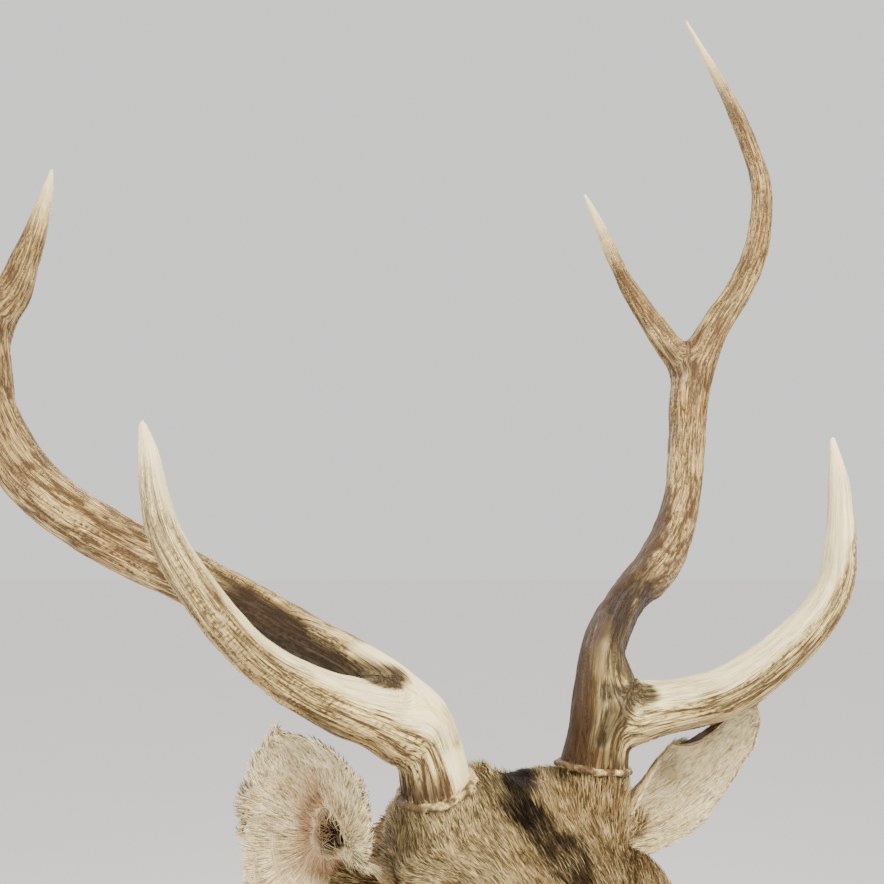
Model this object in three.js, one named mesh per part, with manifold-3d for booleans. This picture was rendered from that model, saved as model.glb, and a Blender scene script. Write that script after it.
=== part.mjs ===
// Shoulder mount of a mature axis deer (chital) buck on a plain backboard.
// Millimetres, +Z up. The wall is the plane Y = 0 and the deer faces -Y. The origin is the middle of the
// board's back face. "left" and "right" are the animal's own, so its left side is at +X.
import * as THREE from "three";
import { mergeVertices } from "three/addons/utils/BufferGeometryUtils.js";
import Module from "manifold-3d";

const wasm = await Module();
wasm.setup();

// ---- driving sizes ----
const GAP = 0.35; // between pieces that meet
const BOARD_THICK = 19;
const BOARD_INSET = 12; // the board's edge lies this far inside the shoulder's back edge
const HANGER = {
  width: 54, height: 24, thick: 1.6, top: 118, // the plate; top is its middle's height on the board
  sunk: 0.2, // below the board's back
  keyRadius: 5, slotRadius: 2.6, drop: 8, // the keyhole's round end, its slot, and the length between
  pocket: 9, wellWidth: 24.3, wellHeight: 19.2, // the well in the board behind the keyhole
};
const SCREW = { radius: 3.4, head: 1.3, spread: 20, sunk: 0.3 };

// The head's own frame: its origin is midway between the burrs, +X to the animal's left, +Y back, +Z up.
const HEAD_AT = new THREE.Vector3(25, -400, 305);
const HEAD_PITCH = 6.15; // degrees about the head's X axis
const HEAD_ROLL = -0.65; // degrees about its Y axis
const HEAD_YAW = 20.1; // degrees about Z: the head looks to the animal's left
const FACE_SLOPE = 53; // the forehead's line falls this many degrees below the head frame's horizontal
const CROWN = { back: -5, up: -6 }; // the crest between the burrs, where the face line starts

const EYE_RADIUS = 16;
const EYE = { along: 84, out: -27, side: 50 }; // along the face line, out from it, and from the midline
const NOSE_PAD_FROM = 226; // distances along the face line from the crown
const MUZZLE_FROM = 126;
const MOUTH = { front: [250, -60], back: [40, -84] }; // the mouth's line in the head's middle plane

const PEDICLE_RADIUS = 19.5;
const BURR_RADIUS = 21.8;
const BURR_HEIGHT = 7;
// The coronet's outline: how far inside its widest radius, at a height. The last is at its full height.
const BURR_PROFILE = [[3.5, 0], [0.8, 1.4], [0, 3.2], [1.2, 5.4], [4.5, BURR_HEIGHT]];
const PEDICLE_FLARE = 3; // the pedicle is this much wider in radius at its foot
// Where each pedicle starts inside the skull: [outward, back, up] from the head's origin.
const PEDICLE_FOOT = { left: [39, -7, -46], right: [32, 2, -48] };
// The ridge over each eye: its middle on the face, and its half lengths to the side, along and out.
const BROW_RIDGE = { along: 60, out: -8, side: 56, size: [18, 24, 14] };

// Landmarks of an antler: [outward, back, up, diameter]. A beam's first stands on the pedicle, a tine's
// first lies inside the beam, and the last of each is its tip.
const ANTLERS = {
  left: {
    beam: [
      [45.5, 0, -2.5, 37], [50, 1, 25, 33], [63, 21, 53, 29.5], [112, 78, 71, 28.5], [190, 152, 93, 33],
      [242, 204, 133, 30], [268, 236, 181, 32], [282, 253, 226, 35], [294, 257, 256, 33],
      [312, 258, 288, 26.5], [335, 258, 320, 24.5], [356, 260, 362, 22.5], [368, 269, 424, 18.5],
      [352, 286, 494, 15], [310, 315, 593, 3.4],
    ],
    brow: [
      [52, 1, 22, 33], [76, -7, 30, 29], [111, -20, 40, 27], [141, -30, 61, 24], [171, -36, 94, 20],
      [180, -33, 124, 16.5], [188, -22, 158, 11.5], [193, -11, 183, 3.4],
    ],
    inner: [
      [287, 256, 238, 27], [266, 274, 275, 23.5], [240, 298, 328, 15.5], [222, 321, 387, 10],
      [212, 331, 415, 3.4],
    ],
  },
  right: {
    beam: [
      [44.5, 0, -3.5, 37], [51, 3, 22, 33], [67, 18, 44, 29.5], [104, 76, 62, 30], [155, 134, 86, 32],
      [204, 172, 108, 34], [255, 213, 143, 34], [281, 241, 188, 31], [293, 261, 240, 35],
      [312, 263, 280, 28], [334, 265, 316, 24.5], [354, 270, 360, 22.5], [365, 280, 424, 18.5],
      [350, 296, 492, 15], [312, 320, 582, 3.4],
    ],
    brow: [
      [50, 3, 22, 34], [75, 3, 36, 31], [93, 2, 43, 28.5], [116, 0, 55, 23.5], [142, -5, 75, 19.5],
      [168, -10, 108, 17.5], [182, -10, 134, 15.5], [188, -2, 166, 9.5], [191, 6, 180, 3.4],
    ],
    inner: [
      [293, 262, 240, 29], [277, 271, 266, 26.5], [268, 288, 298, 20.5], [258, 316, 351, 10.5],
      [255, 330, 378, 3.4],
    ],
  },
};
const BASE_LENGTH = 46; // of the beam, from the burr to the cut above the brow tine
const FORK_LANDMARK = { left: 6.85, right: 7.85 }; // where the upper fork is, counted in beam landmarks

// The line through the middle of each ear's cup, from inside the skull to the tip, where the cup faces, and
// how wide this ear is against EAR_FORM.
const EARS = {
  left: {
    line: [[62, 20, -56], [90, 9, -28], [118, 11, -8], [140, -14, 33]],
    opening: [0.32, -0.89, 0.31],
    size: 0.78,
  },
  right: {
    line: [[-58, 20, -62], [-102, 11, -41], [-111.5, 3, -1], [-128, -9, 38]],
    opening: [-0.34, -0.94, 0],
    size: 0.935,
  },
};
// Half the ear's width, and how far its section rolls up (radians each way), at parts of its length.
const EAR_FORM = [
  { at: 0, half: 13, roll: 2.4 }, { at: 0.2, half: 21, roll: 2.0 }, { at: 0.4, half: 30, roll: 1.35 },
  { at: 0.6, half: 34, roll: 1.0 }, { at: 0.78, half: 30, roll: 0.8 }, { at: 0.92, half: 18, roll: 0.6 },
  { at: 1, half: 3, roll: 0.4 },
];
const EAR_THICK = 5; // with its hair

// Stations of the head, nose first. top and bottom are [along the face line, out from it] in the middle
// plane; half is half the width there; level is how high the widest place is, from bottom (0) to top (1).
const HEAD_STATIONS = [
  { top: [242, -27], bottom: [241, -54], half: 16, level: 0.55 },
  { top: [236, -18], bottom: [236, -66], half: 25, level: 0.58 },
  { top: [226, -13], bottom: [224, -75], half: 30, level: 0.6 },
  { top: [210, -10], bottom: [206, -79], half: 32, level: 0.6 },
  { top: [186, -9], bottom: [180, -81], half: 33.5, level: 0.55 },
  { top: [158, -7], bottom: [150, -86], half: 38, level: 0.55 },
  { top: [132, -3], bottom: [122, -95], half: 47, level: 0.62 },
  { top: [110, 2], bottom: [96, -107], half: 57, level: 0.68 },
  { top: [88, 7], bottom: [72, -119], half: 66, level: 0.74 },
  { top: [64, 10], bottom: [46, -128], half: 68, level: 0.74 },
  { top: [40, 9], bottom: [20, -132], half: 65.5, level: 0.72 },
  { top: [18, 5], bottom: [0, -128], half: 63, level: 0.7 },
  { top: [0, 0], bottom: [-14, -118], half: 60, level: 0.66 },
  { top: [-13, -14], bottom: [-22, -102], half: 51, level: 0.58 },
  { top: [-20, -34], bottom: [-24, -84], half: 30, level: 0.5 },
];

// Stations of the neck and shoulders, wall first: the middle's place, half width, height above and depth
// below the middle, lean back in degrees, and the height of the widest place as a part of the depth below.
const BODY_STATIONS = [
  { at: [0, -BOARD_THICK - GAP, 0], half: 150, above: 190, below: 195, lean: 0, level: -0.2 },
  { at: [0, -45, 3], half: 160, above: 188, below: 201, lean: 3, level: -0.22 },
  { at: [0, -88, 14], half: 163, above: 172, below: 200, lean: 8, level: -0.24 },
  { at: [1, -130, 36], half: 150, above: 143, below: 189, lean: 15, level: -0.24 },
  { at: [2, -172, 62], half: 122, above: 115, below: 162, lean: 23, level: -0.18 },
  { at: [4, -215, 88], half: 98, above: 98, below: 124, lean: 29, level: -0.1 },
  { at: [7, -262, 116], half: 84, above: 90, below: 98, lean: 33, level: -0.04 },
  { at: [10, -305, 146], half: 76, above: 85, below: 86, lean: 35, level: 0 },
  { at: [14, -343, 180], half: 69, above: 79, below: 79, lean: 37, level: 0 },
  { at: [17, -374, 211], half: 58, above: 72, below: 69, lean: 38, level: 0 },
];
const NECK_FROM = 4; // the station where the neck leaves the shoulders

const RING_SIDES = { head: 30, body: 36, beam: 12, tine: 10, ear: 8, burr: 16, pedicle: 16, board: 40 };
const RING_STEP = { beam: 20, brow: 17, inner: 18 }; // between a tube's rings
const EAR_STATIONS = 11;
const EYE_FACES = [16, 10];
const RIDGE_FACES = [10, 7];
const SECTION = { head: { square: 0.74, taper: 0.3 }, body: { square: 0.92, taper: 0.22 } };

const COLOURS = {
  coat: 0x8a6238, head: 0x7d5f3f, muzzle: 0x6f5b45, jaw: 0xcfc0a4, nose: 0x17130f, ear: 0xb9a68a,
  eye: 0x1a0f08, antler: 0xa98a5e, tip: 0xe2d3b0, board: 0x6d4526, steel: 0x8f9296,
};

// ---- closed bodies ----

function material(color, roughness, metalness = 0) {
  return new THREE.MeshStandardMaterial({ color, roughness, metalness });
}

function signedVolume(points, triangles) {
  let sum = 0;
  for (let i = 0; i < triangles.length; i += 3) {
    const [a, b, c] = [points[triangles[i]], points[triangles[i + 1]], points[triangles[i + 2]]];
    sum += a.dot(new THREE.Vector3().crossVectors(b, c));
  }
  return sum;
}

// Joins rings of points, all of one count, into a closed body with a fan over each end.
function skinOver(rings) {
  const count = rings[0].length;
  const points = rings.flat();
  const triangles = [];
  for (let r = 0; r + 1 < rings.length; r += 1) {
    for (let i = 0; i < count; i += 1) {
      const j = (i + 1) % count;
      const [a, b, c, d] = [r * count + i, r * count + j, (r + 1) * count + i, (r + 1) * count + j];
      triangles.push(a, b, d, a, d, c);
    }
  }
  const ends = [{ ring: 0, flip: true }, { ring: rings.length - 1, flip: false }];
  for (const { ring, flip } of ends) {
    const middle = new THREE.Vector3();
    rings[ring].forEach((p) => middle.addScaledVector(p, 1 / count));
    points.push(middle);
    const hub = points.length - 1;
    for (let i = 0; i < count; i += 1) {
      const [a, b] = [ring * count + i, ring * count + ((i + 1) % count)];
      triangles.push(...(flip ? [hub, b, a] : [hub, a, b]));
    }
  }
  if (signedVolume(points, triangles) < 0) {
    for (let i = 0; i < triangles.length; i += 3) {
      [triangles[i], triangles[i + 1]] = [triangles[i + 1], triangles[i]];
    }
  }
  const flat = points.flatMap((p) => p.toArray());
  const geometry = new THREE.BufferGeometry();
  geometry.setAttribute("position", new THREE.Float32BufferAttribute(flat, 3));
  geometry.setIndex(triangles);
  return geometry;
}

function toSolid(geometry) {
  const bare = geometry.clone();
  bare.deleteAttribute("normal");
  bare.deleteAttribute("uv");
  const merged = mergeVertices(bare, 1e-4);
  const vertProperties = new Float32Array(merged.attributes.position.array);
  const triVerts = new Uint32Array(merged.index.array);
  return new wasm.Manifold(new wasm.Mesh({ numProp: 3, vertProperties, triVerts }));
}

function toGeometry(solid) {
  const pieces = solid.decompose().sort((a, b) => b.volume() - a.volume());
  const mesh = pieces[0].getMesh();
  const geometry = new THREE.BufferGeometry();
  geometry.setAttribute("position", new THREE.BufferAttribute(new Float32Array(mesh.vertProperties), 3));
  geometry.setIndex(new THREE.BufferAttribute(new Uint32Array(mesh.triVerts), 1));
  return geometry;
}

function named(name, geometry, look) {
  geometry.computeVertexNormals();
  const mesh = new THREE.Mesh(geometry, look);
  mesh.name = name;
  return mesh;
}

// A big block on one side of the plane through a point, to cut with.
function halfSpace(point, normal, reach = 900) {
  const box = new THREE.BoxGeometry(reach, reach, reach);
  box.translate(0, 0, reach / 2);
  const facing = normal.clone().normalize();
  box.applyQuaternion(new THREE.Quaternion().setFromUnitVectors(new THREE.Vector3(0, 0, 1), facing));
  box.translate(point.x, point.y, point.z);
  return toSolid(box);
}

// ---- the head's own frame and its middle plane ----

const slope = THREE.MathUtils.degToRad(FACE_SLOPE);

// A point in the head's frame from its distance along the face line, out from the face and to the side.
function facePoint(along, out, side = 0) {
  const back = CROWN.back - along * Math.cos(slope) - out * Math.sin(slope);
  const up = CROWN.up - along * Math.sin(slope) + out * Math.cos(slope);
  return new THREE.Vector3(side, back, up);
}

const ALONG_FACE = new THREE.Vector3(0, -Math.cos(slope), -Math.sin(slope));
const INTO_FACE = new THREE.Vector3(0, Math.sin(slope), -Math.cos(slope));

// A closed ring of an egg-like section. It is widest at level and may be squarer than an ellipse.
function eggRing(middle, side, up, size, sides) {
  const ring = [];
  for (let i = 0; i < sides; i += 1) {
    const angle = (2 * Math.PI * i) / sides;
    const [c, s] = [Math.cos(angle), Math.sin(angle)];
    const x = size.half * Math.sign(c) * Math.abs(c) ** size.square;
    const reach = s > 0 ? size.above : size.below;
    const narrow = s > 0 ? 1 : 1 - size.taper * s * s;
    ring.push(middle.clone().addScaledVector(side, x * narrow).addScaledVector(up, reach * s));
  }
  return ring;
}

function headBody(grow) {
  const side = new THREE.Vector3(1, 0, 0);
  const rings = HEAD_STATIONS.map((station, i) => {
    const top = facePoint(...station.top);
    const bottom = facePoint(...station.bottom);
    const height = top.distanceTo(bottom);
    const up = top.clone().sub(bottom).normalize();
    const middle = bottom.clone().addScaledVector(up, height * station.level);
    const end = i === 0 ? -1 : i === HEAD_STATIONS.length - 1 ? 1 : 0;
    middle.addScaledVector(ALONG_FACE, -grow * end);
    const size = {
      half: station.half + grow,
      above: height * (1 - station.level) + grow,
      below: height * station.level + grow,
      ...SECTION.head,
    };
    return eggRing(middle, side, up, size, RING_SIDES.head);
  });
  return toSolid(skinOver(rings));
}

function ridgeSolid(mirror, grow) {
  const ridge = new THREE.SphereGeometry(1, ...RIDGE_FACES);
  ridge.scale(...BROW_RIDGE.size.map((half) => half + grow));
  ridge.applyMatrix4(new THREE.Matrix4().makeBasis(new THREE.Vector3(1, 0, 0), ALONG_FACE, INTO_FACE));
  const at = facePoint(BROW_RIDGE.along, BROW_RIDGE.out, BROW_RIDGE.side * mirror);
  ridge.translate(at.x, at.y, at.z);
  return toSolid(ridge);
}

// The skull with its pedicles and brow ridges.
function skull(grow) {
  let whole = headBody(grow);
  for (const sideName of ["left", "right"]) {
    whole = whole.add(pedicleSolid(sideName, grow));
  }
  return whole.add(ridgeSolid(1, grow)).add(ridgeSolid(-1, grow));
}

// ---- tubes along landmarks ----

function tubeRings(landmarks, mirror, sides, stepLength, grow) {
  const places = landmarks.map(([out, back, up]) => new THREE.Vector3(out * mirror, back, up));
  const path = new THREE.CatmullRomCurve3(places, false, "centripetal");
  const spans = landmarks.length - 1;
  const diameterAt = (t) => {
    const at = Math.min(t * spans, spans - 1e-6);
    const i = Math.floor(at);
    const ease = at - i;
    return landmarks[i][3] * (1 - ease) + landmarks[i + 1][3] * ease;
  };
  const steps = Math.max(4, Math.round(path.getLength() / stepLength));
  const rings = [];
  let side = new THREE.Vector3(0, 1, 0);
  for (let k = 0; k <= steps; k += 1) {
    const t = path.getUtoTmapping(k / steps);
    const tangent = path.getTangent(t);
    side = side.clone().addScaledVector(tangent, -side.dot(tangent)).normalize();
    const up = new THREE.Vector3().crossVectors(tangent, side);
    const radius = diameterAt(t) / 2 + grow;
    const end = k === 0 ? -1 : k === steps ? 1 : 0;
    const middle = path.getPoint(t).addScaledVector(tangent, grow * end);
    const ring = [];
    for (let i = 0; i < sides; i += 1) {
      const angle = (2 * Math.PI * i) / sides;
      ring.push(
        middle
          .clone()
          .addScaledVector(side, radius * Math.cos(angle))
          .addScaledVector(up, radius * Math.sin(angle)),
      );
    }
    rings.push(ring);
  }
  return { rings, path, steps };
}

// ---- antlers ----

// The coronet: a low turned ring round the antler's foot, square to the pedicle.
function burrGeometry(foot, axis, grow) {
  const edge = BURR_RADIUS + grow;
  const stretch = (BURR_HEIGHT + 2 * grow) / BURR_HEIGHT;
  const outline = BURR_PROFILE.map(([inside, z]) => new THREE.Vector2(edge - inside, z * stretch));
  const bottom = new THREE.Vector2(0, outline[0].y);
  const top = new THREE.Vector2(0, outline[outline.length - 1].y);
  const ring = new THREE.LatheGeometry([bottom, ...outline, top], RING_SIDES.burr);
  ring.applyQuaternion(new THREE.Quaternion().setFromUnitVectors(new THREE.Vector3(0, 1, 0), axis));
  ring.translate(foot.x, foot.y, foot.z);
  return ring;
}

function pedicleLine(sideName) {
  const mirror = sideName === "left" ? 1 : -1;
  const [out, back, up] = ANTLERS[sideName].beam[0];
  const top = new THREE.Vector3(out * mirror, back, up);
  const [footOut, footBack, footUp] = PEDICLE_FOOT[sideName];
  const foot = new THREE.Vector3(footOut * mirror, footBack, footUp);
  return { top, foot, axis: top.clone().sub(foot).normalize() };
}

function pedicleSolid(sideName, grow) {
  const { top, foot, axis } = pedicleLine(sideName);
  const length = foot.distanceTo(top) + grow;
  const radius = PEDICLE_RADIUS + grow;
  const sides = RING_SIDES.pedicle;
  const stub = new THREE.CylinderGeometry(radius, radius + PEDICLE_FLARE, length, sides);
  stub.applyQuaternion(new THREE.Quaternion().setFromUnitVectors(new THREE.Vector3(0, 1, 0), axis));
  const middle = foot.clone().addScaledVector(axis, length / 2);
  stub.translate(middle.x, middle.y, middle.z);
  return toSolid(stub);
}

function antlerMeshes(sideName, headGrown) {
  const mirror = sideName === "left" ? 1 : -1;
  const { beam, brow, inner } = ANTLERS[sideName];
  const bone = () => material(COLOURS.antler, 0.6);
  const { rings, path, steps } = tubeRings(beam, mirror, RING_SIDES.beam, RING_STEP.beam, 0);
  const grownRings = tubeRings(beam, mirror, RING_SIDES.beam, RING_STEP.beam, GAP).rings;
  const grown = toSolid(skinOver(grownRings));
  const length = path.getLength();
  const baseEnd = Math.round((BASE_LENGTH / length) * steps);
  const forkT = FORK_LANDMARK[sideName] / (beam.length - 1);
  const forkAt = path.getPoint(forkT);
  let forkEnd = baseEnd + 1;
  for (let k = baseEnd + 1; k < steps; k += 1) {
    const best = path.getPointAt(forkEnd / steps).distanceTo(forkAt);
    if (path.getPointAt(k / steps).distanceTo(forkAt) < best) {
      forkEnd = k;
    }
  }
  const shifted = (k) => {
    const tangent = path.getTangentAt(k / steps);
    return rings[k].map((p) => p.clone().addScaledVector(tangent, GAP));
  };
  const { top, axis } = pedicleLine(sideName);
  const above = (distance) => top.clone().addScaledVector(axis, distance);
  const burr = toSolid(burrGeometry(above(1.6 * GAP), axis, 0));
  const burrGrown = toSolid(burrGeometry(above(GAP), axis, GAP));
  const underFoot = halfSpace(above(5 * GAP), axis.clone().negate());
  const base = toSolid(skinOver(rings.slice(0, baseEnd + 1))).subtract(underFoot).add(burr);
  const sections = [
    ["base", base.subtract(headGrown)],
    ["beam", toSolid(skinOver([shifted(baseEnd), ...rings.slice(baseEnd + 1, forkEnd + 1)]))],
    ["outer_tine", toSolid(skinOver([shifted(forkEnd), ...rings.slice(forkEnd + 1)]))],
  ];
  const tines = [["brow_tine", brow, RING_STEP.brow], ["inner_tine", inner, RING_STEP.inner]];
  for (const [name, landmarks, step] of tines) {
    const tine = toSolid(skinOver(tubeRings(landmarks, mirror, RING_SIDES.tine, step, 0).rings));
    sections.push([name, tine.subtract(grown).subtract(burrGrown).subtract(headGrown)]);
  }
  return sections.map(([name, solid]) => named(`antler_${sideName}_${name}`, toGeometry(solid), bone()));
}

// ---- ears ----

// A leaf-shaped cup: crescent sections along the ear, rolled to a tube at the base and flat at the tip.
function earSolid(sideName) {
  const { line, opening, size } = EARS[sideName];
  const places = line.map((p) => new THREE.Vector3(...p));
  const path = new THREE.CatmullRomCurve3(places, false, "centripetal");
  const formAt = (q, key) => {
    const next = Math.max(1, EAR_FORM.findIndex((f) => f.at >= q));
    const [a, b] = [EAR_FORM[next - 1], EAR_FORM[next]];
    return THREE.MathUtils.lerp(a[key], b[key], (q - a.at) / (b.at - a.at));
  };
  const rings = [];
  for (let k = 0; k <= EAR_STATIONS; k += 1) {
    const q = k / EAR_STATIONS;
    const axis = path.getTangentAt(q);
    const open = new THREE.Vector3(...opening);
    open.addScaledVector(axis, -open.dot(axis)).normalize();
    const across = new THREE.Vector3().crossVectors(axis, open);
    const roll = formAt(q, "roll");
    const radius = (size * formAt(q, "half")) / Math.sin(Math.min(roll, Math.PI / 2));
    const thick = Math.min(EAR_THICK * (1 - 0.5 * q), radius * 0.6);
    const middle = path.getPointAt(q).addScaledVector(open, (radius * Math.sin(roll)) / roll);
    const arc = (r, sign) => {
      const points = [];
      for (let i = 0; i < RING_SIDES.ear; i += 1) {
        const angle = sign * THREE.MathUtils.lerp(-roll, roll, i / (RING_SIDES.ear - 1));
        const out = middle.clone().addScaledVector(across, r * Math.sin(angle));
        points.push(out.addScaledVector(open, -r * Math.cos(angle)));
      }
      return points;
    };
    rings.push([...arc(radius, 1), ...arc(radius - thick, -1)]);
  }
  return toSolid(skinOver(rings));
}

// ---- neck and shoulders ----

function bodyRing(station, index) {
  const [x, y, z] = station.at;
  const upright = new THREE.Vector3(0, 0, 1);
  const turn = THREE.MathUtils.degToRad(HEAD_YAW * (index / (BODY_STATIONS.length - 1)) ** 2);
  const lean = THREE.MathUtils.degToRad(station.lean);
  const side = new THREE.Vector3(Math.cos(turn), Math.sin(turn), 0);
  const up = new THREE.Vector3(0, Math.sin(lean), Math.cos(lean)).applyAxisAngle(upright, turn);
  const lift = station.level * station.below;
  const size = {
    half: station.half,
    above: station.above - lift,
    below: station.below + lift,
    ...SECTION.body,
  };
  return eggRing(new THREE.Vector3(x, y, z).addScaledVector(up, lift), side, up, size, RING_SIDES.body);
}

function neckAndShoulders(headGrown) {
  const rings = BODY_STATIONS.map(bodyRing);
  const shoulders = skinOver(rings.slice(0, NECK_FROM + 1));
  const ahead = new THREE.Vector3(...BODY_STATIONS[NECK_FROM + 1].at);
  ahead.sub(new THREE.Vector3(...BODY_STATIONS[NECK_FROM].at)).setLength(GAP * 1.2);
  const first = rings[NECK_FROM].map((p) => p.clone().add(ahead));
  const neck = toSolid(skinOver([first, ...rings.slice(NECK_FROM + 1)])).subtract(headGrown);
  return [
    named("neck", toGeometry(neck), material(COLOURS.coat, 0.9)),
    named("shoulders", shoulders, material(COLOURS.coat, 0.9)),
  ];
}

// ---- backboard and its hanger ----

function boardSolid() {
  const { half, above, below, level } = BODY_STATIONS[0];
  const lift = level * below;
  const outline = eggRing(
    new THREE.Vector3(0, lift, 0),
    new THREE.Vector3(1, 0, 0),
    new THREE.Vector3(0, 1, 0),
    {
      half: half - BOARD_INSET,
      above: above - lift - BOARD_INSET,
      below: below + lift - BOARD_INSET,
      ...SECTION.body,
    },
    RING_SIDES.board,
  );
  const shape = new THREE.Shape(outline.map((p) => new THREE.Vector2(p.x, p.y)));
  const board = new THREE.ExtrudeGeometry(shape, { depth: BOARD_THICK, bevelEnabled: false });
  board.rotateX(Math.PI / 2);
  const { width, height, thick } = HANGER;
  const pocket = new THREE.BoxGeometry(width + 2 * GAP, 2 * (thick + GAP), height + 2 * GAP);
  pocket.translate(0, 0, HANGER.top);
  const well = new THREE.BoxGeometry(HANGER.wellWidth, 2 * HANGER.pocket, HANGER.wellHeight);
  well.translate(0, 0, HANGER.top);
  return toSolid(board).subtract(toSolid(pocket)).subtract(toSolid(well));
}

// A flat steel plate with a keyhole, let into the board's back, with a countersunk screw at each end.
function hangerMeshes() {
  const plate = new THREE.Shape();
  const [w, h] = [HANGER.width / 2, HANGER.height / 2];
  plate.moveTo(-w, -h).lineTo(w, -h).lineTo(w, h).lineTo(-w, h).closePath();
  const key = new THREE.Path();
  const join = Math.asin(HANGER.slotRadius / HANGER.keyRadius);
  const [from, to] = [Math.PI / 2 + join, Math.PI / 2 - join + 2 * Math.PI];
  key.absarc(0, -HANGER.drop / 2, HANGER.keyRadius, from, to, false);
  key.absarc(0, HANGER.drop / 2 + 1, HANGER.slotRadius, 0, Math.PI, false);
  plate.holes.push(key);
  for (const x of [-SCREW.spread, SCREW.spread]) {
    const hole = new THREE.Path();
    hole.absarc(x, 0, SCREW.radius + GAP, 0, 2 * Math.PI, false);
    plate.holes.push(hole);
  }
  const extrusion = { depth: HANGER.thick, bevelEnabled: false, curveSegments: 8 };
  const geometry = new THREE.ExtrudeGeometry(plate, extrusion);
  geometry.rotateX(Math.PI / 2);
  geometry.translate(0, -HANGER.sunk, HANGER.top);
  const steel = () => material(COLOURS.steel, 0.35, 0.9);
  const meshes = [named("hanger_plate", toGeometry(toSolid(geometry)), steel())];
  for (const [i, x] of [-SCREW.spread, SCREW.spread].entries()) {
    const head = new THREE.CylinderGeometry(SCREW.radius, SCREW.radius, SCREW.head, 16);
    head.translate(x, -SCREW.sunk - SCREW.head / 2, HANGER.top);
    meshes.push(named(`hanger_screw_${i + 1}`, head, steel()));
  }
  return meshes;
}

// ---- the head, parted along the mouth, the muzzle and the nose pad ----

function eyeSolid(mirror, grow) {
  const ball = new THREE.SphereGeometry(EYE_RADIUS + grow, ...EYE_FACES);
  const at = facePoint(EYE.along, EYE.out, EYE.side * mirror);
  ball.translate(at.x, at.y, at.z);
  return toSolid(ball);
}

function headMeshes(whole) {
  let head = whole;
  for (const mirror of [1, -1]) {
    head = head.subtract(eyeSolid(mirror, GAP));
  }
  const front = facePoint(...MOUTH.front);
  const back = facePoint(...MOUTH.back);
  const along = front.clone().sub(back).normalize();
  const mouthUp = new THREE.Vector3().crossVectors(new THREE.Vector3(1, 0, 0), along).normalize();
  if (mouthUp.z < 0) {
    mouthUp.negate();
  }
  const lift = mouthUp.clone().multiplyScalar(GAP);
  const jaw = head.subtract(halfSpace(back, mouthUp));
  const upper = head.subtract(halfSpace(back.clone().add(lift), mouthUp.clone().negate()));
  const cutAt = (body, from) => {
    const ahead = body.subtract(halfSpace(facePoint(from, 0), ALONG_FACE.clone().negate()));
    const behind = body.subtract(halfSpace(facePoint(from - GAP, 0), ALONG_FACE));
    return [ahead, behind];
  };
  const [muzzleAll, cranium] = cutAt(upper, MUZZLE_FROM);
  const [nose, muzzle] = cutAt(muzzleAll, NOSE_PAD_FROM);
  return [
    named("head", toGeometry(cranium), material(COLOURS.head, 0.9)),
    named("muzzle", toGeometry(muzzle), material(COLOURS.muzzle, 0.85)),
    named("nose_pad", toGeometry(nose), material(COLOURS.nose, 0.45)),
    named("lower_jaw", toGeometry(jaw), material(COLOURS.jaw, 0.85)),
    named("eye_left", toGeometry(eyeSolid(1, 0)), material(COLOURS.eye, 0.08)),
    named("eye_right", toGeometry(eyeSolid(-1, 0)), material(COLOURS.eye, 0.08)),
  ];
}

// ---- assembly ----

const model = new THREE.Group();

const headGroup = new THREE.Group();
headGroup.position.copy(HEAD_AT);
headGroup.rotation.set(...[HEAD_PITCH, HEAD_ROLL, HEAD_YAW].map(THREE.MathUtils.degToRad), "ZXY");
headGroup.updateMatrixWorld(true);
model.add(headGroup);

const headGrown = skull(GAP);

headMeshes(skull(0)).forEach((mesh) => headGroup.add(mesh));
for (const sideName of ["left", "right"]) {
  antlerMeshes(sideName, headGrown).forEach((mesh) => headGroup.add(mesh));
  const ear = earSolid(sideName).subtract(headGrown);
  headGroup.add(named(`ear_${sideName}`, toGeometry(ear), material(COLOURS.ear, 0.9)));
}

// The neck stays in the wall's frame, so the head and ears that it meets are turned into it first.
const turnedHead = headGrown.transform(headGroup.matrixWorld.elements);
neckAndShoulders(turnedHead).forEach((mesh) => model.add(mesh));

model.add(named("backboard", toGeometry(boardSolid()), material(COLOURS.board, 0.6)));
hangerMeshes().forEach((mesh) => model.add(mesh));

export default model;
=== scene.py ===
"""Shoulder mount of an axis deer buck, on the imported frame: skin, coat, ears, glass eyes, antlers, backboard,
light and camera."""

import math
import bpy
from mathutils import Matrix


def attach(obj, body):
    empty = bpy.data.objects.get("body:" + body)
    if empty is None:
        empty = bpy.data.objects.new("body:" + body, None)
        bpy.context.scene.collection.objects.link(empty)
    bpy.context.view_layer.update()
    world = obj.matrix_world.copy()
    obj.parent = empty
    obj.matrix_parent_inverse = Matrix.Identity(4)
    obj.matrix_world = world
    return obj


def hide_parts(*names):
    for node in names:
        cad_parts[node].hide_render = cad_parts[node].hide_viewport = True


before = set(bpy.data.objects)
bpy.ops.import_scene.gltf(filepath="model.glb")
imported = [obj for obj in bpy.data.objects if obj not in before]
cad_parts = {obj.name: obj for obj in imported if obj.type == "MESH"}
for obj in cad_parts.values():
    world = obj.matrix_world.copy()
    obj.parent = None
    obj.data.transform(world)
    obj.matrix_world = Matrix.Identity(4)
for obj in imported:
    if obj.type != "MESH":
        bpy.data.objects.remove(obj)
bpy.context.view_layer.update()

from types import SimpleNamespace

import bmesh
import bpy
import numpy as np
from mathutils import Vector

MM = 0.001
SIDES = ("left", "right")
MIRROR = {"left": 1, "right": -1}
rng = np.random.default_rng(7)

# ---- the part's own sizes, in millimetres as in the CAD ----

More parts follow.
